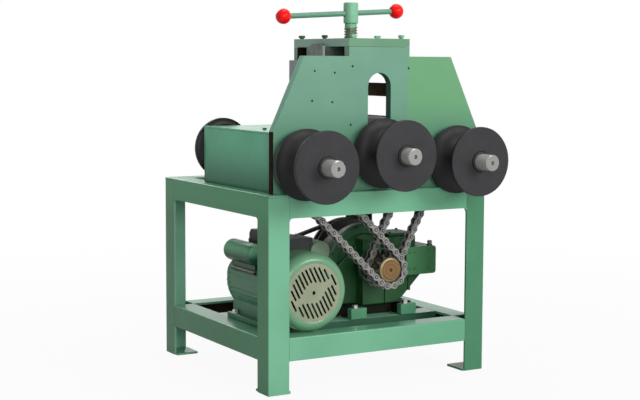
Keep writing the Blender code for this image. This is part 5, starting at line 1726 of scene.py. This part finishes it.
def makeCapacitors(look):
    full, edge, lip, neck = look["radius"], look["round"], look["lip"], look["radius"] - look["seam"]
    for word, paint in (("left", capacitorPaint), ("right", canEndPaint)):
        node = "capacitor_cover_" + word
        low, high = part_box(node)
        length, middle = high.y - low.y, middleOf(node)
        profile = [(0, 0), (full - lip, 0), (full, lip), (full, 7 * mm), (neck, 7.6 * mm)]
        profile += [(neck, 9 * mm), (full, 9.6 * mm)]
        profile += arcPoints((full - edge, length - edge), edge, 0, pi / 2, 6) + [(0, length)]
        turnedPiece(
            "capacitor_" + word + "_can", profile, (middle.x, low.y, middle.z), paint,
            replaces=(node,), angle=30,
        )
    # saddle under the left can: its body in the dark cast green as painted shade, a pale flange, and
    # below it a dark strip, a painted shadow line
    low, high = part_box("capacitor_cover_left")
    left, right = look["saddleX"], (low.x + high.x) / 2 + look["saddleReach"]
    start, end, (under, over) = low.y, look["flangeEnd"], look["flange"]
    saddle, flange, shadowStrip = bmesh.new(), bmesh.new(), bmesh.new()
    addBlock(saddle, (left + 3 * mm, start + 2 * mm, over - mm), (right, end - 3 * mm, low.z + 12 * mm))
    castPiece(saddle, "capacitor_saddle", radius=1.5 * mm)
    addBlock(flange, (left - 2 * mm, start, under), (right, end, over))
    finishShape(flange, "capacitor_saddle_flange", flangePaint, radius=0.6 * mm, slot="paleSteel")
    addBlock(shadowStrip, (left, start + mm, under - 4 * mm), (right, end - mm, under + 0.5 * mm))
    finishShape(shadowStrip, "capacitor_saddle_shadow_strip", oilAndShadeDark, slot="blackRubber")


boxLook = {"round": 4 * mm, "lidRise": 31.1 * mm, "screws": [(-37, 8), (-37, 64), (37, 8), (37, 64)]}


def makeTerminalBox(look):
    roundedCopy("terminal_box", blackMoulding, look["round"], 4)
    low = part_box("terminal_box")[0]
    shape = bmesh.new()
    for across, back in inMm(look["screws"]):
        addScrew(shape, (motor.x + across, low.y + back, low.z + look["lidRise"]), "Z", 1, 3 * mm)
    finishShape(shape, "terminal_box_screws", zincSteel, slot="brightSteel")


def makeRotor(radius):
    roundedCopy("cooling_fan", blackMoulding, 0.5 * mm)
    low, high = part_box("rotor_shaft")
    length = high.y - low.y
    profile = [(0, 0), (radius - mm, 0), (radius, mm), (radius, length - mm), (radius - mm, length)]
    turnedPiece(
        "rotor_shaft_ground", profile + [(0, length)], (motor.x, low.y, motor.z), zincSteel, "rotor",
        steps=48, replaces=("rotor_shaft",),
    )


makeMotorBody(motorLook)
makeFanCover(fanCoverLook)
makeCapacitors(capacitorLook)
makeTerminalBox(boxLook)
makeRotor(12 * mm)
print("motor made")


# belt drive
beltLook = {
    "width": 13 * mm, "bottomWidth": 8.6 * mm, "height": 8 * mm, "proud": 1.0 * mm,
    "bigRadius": 95 * mm, "smallRadius": 39.8 * mm, "pulleyWidth": 26 * mm, "groove": 10 * mm,
    "grooveHalf": 4.3 * mm, "edge": 0.8 * mm, "rim": 8 * mm, "web": 5 * mm, "shaft": 12 * mm,
}


def makePulley(node, centre, radius, boss, webbed, steps, look):
    half, top, edge = look["pulleyWidth"] / 2, look["width"] / 2 + 0.4 * mm, look["edge"]
    floor, web = radius - look["groove"], look["web"]
    profile = []
    if webbed:
        inner = floor - look["rim"]
        profile += [(boss, web + 2 * mm), (boss + 2 * mm, web), (inner - 3 * mm, web)]
        profile += [(inner, web + 3 * mm), (inner, half - edge), (inner + edge, half)]
    profile += [(radius - edge, half), (radius, half - edge), (radius, top), (floor, look["grooveHalf"])]
    # the other half of the rim mirrors this one; only the boss's outer end is broken
    profile += [(r, -t) for r, t in reversed(profile)] + [(boss, -half), (0, -half)]
    profile = [(0, half), (boss - mm, half), (boss, half - mm)] + profile
    body = bodyOf(node)
    turnedPiece(
        node + "_turned", profile, centre, pulleyPaint, body, steps=steps, replaces=(node,), angle=30
    )
    if webbed:
        # the input shaft that carries it, towards the gearbox
        reach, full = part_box(node)[0].y - centre[1], look["shaft"]
        shaft = [(0, reach), (full - mm, reach), (full, reach + mm), (full, 0), (0, 0)]
        turnedPiece(
            node + "_turned_shaft", shaft, centre, zincSteel, body, steps=48, slot="brightSteel"
        )


def beltLoop(shape, small, smallRadius, big, bigRadius, y):
    # a closed loop of edges round both wheels
    rise = big - small
    heading = -Vector((1, 0)).angle_signed(rise)
    lean = asin((bigRadius - smallRadius) / rise.length)
    near, far = heading - pi / 2 - lean, heading + pi / 2 + lean
    points = arcPoints(big, bigRadius, near, far, 40)
    points += arcPoints(small, smallRadius, far, near + tau, 24)
    verts = [shape.verts.new((x, y, z)) for x, z in points]
    return [shape.edges.new((verts[i - 1], verts[i])) for i in range(len(verts))]


def makeBelt(look, small, big):
    shape = bmesh.new()
    ends = Vector((small[0], small[2])), Vector((big[0], big[2]))
    top, bottom = look["proud"], look["proud"] - look["height"]
    half, narrow = look["width"] / 2, look["bottomWidth"] / 2
    loops = []
    for radial, across in ((top, half), (bottom, narrow), (bottom, -narrow), (top, -half)):
        radii = look["smallRadius"] + radial, look["bigRadius"] + radial
        loops.append(beltLoop(shape, ends[0], radii[0], ends[1], radii[1], small[1] + across))
    for first, second in zip(loops, loops[1:] + loops[:1]):
        bmesh.ops.bridge_loops(shape, edges=first + second)
    finishShape(shape, "v_belt_cord", beltRubber, replaces=("v_belt",), angle=30)


beltY, inputAxis = middleOf("v_belt").y, middleOf("input_pulley")
smallPulley, bigPulley = (motor.x, beltY, motor.z), (inputAxis.x, beltY, inputAxis.z)
makePulley("motor_pulley", smallPulley, beltLook["smallRadius"], 20 * mm, False, 72, beltLook)
makePulley("input_pulley", bigPulley, beltLook["bigRadius"], 24 * mm, True, 96, beltLook)
makeBelt(beltLook, smallPulley, bigPulley)
print("belt drive made")
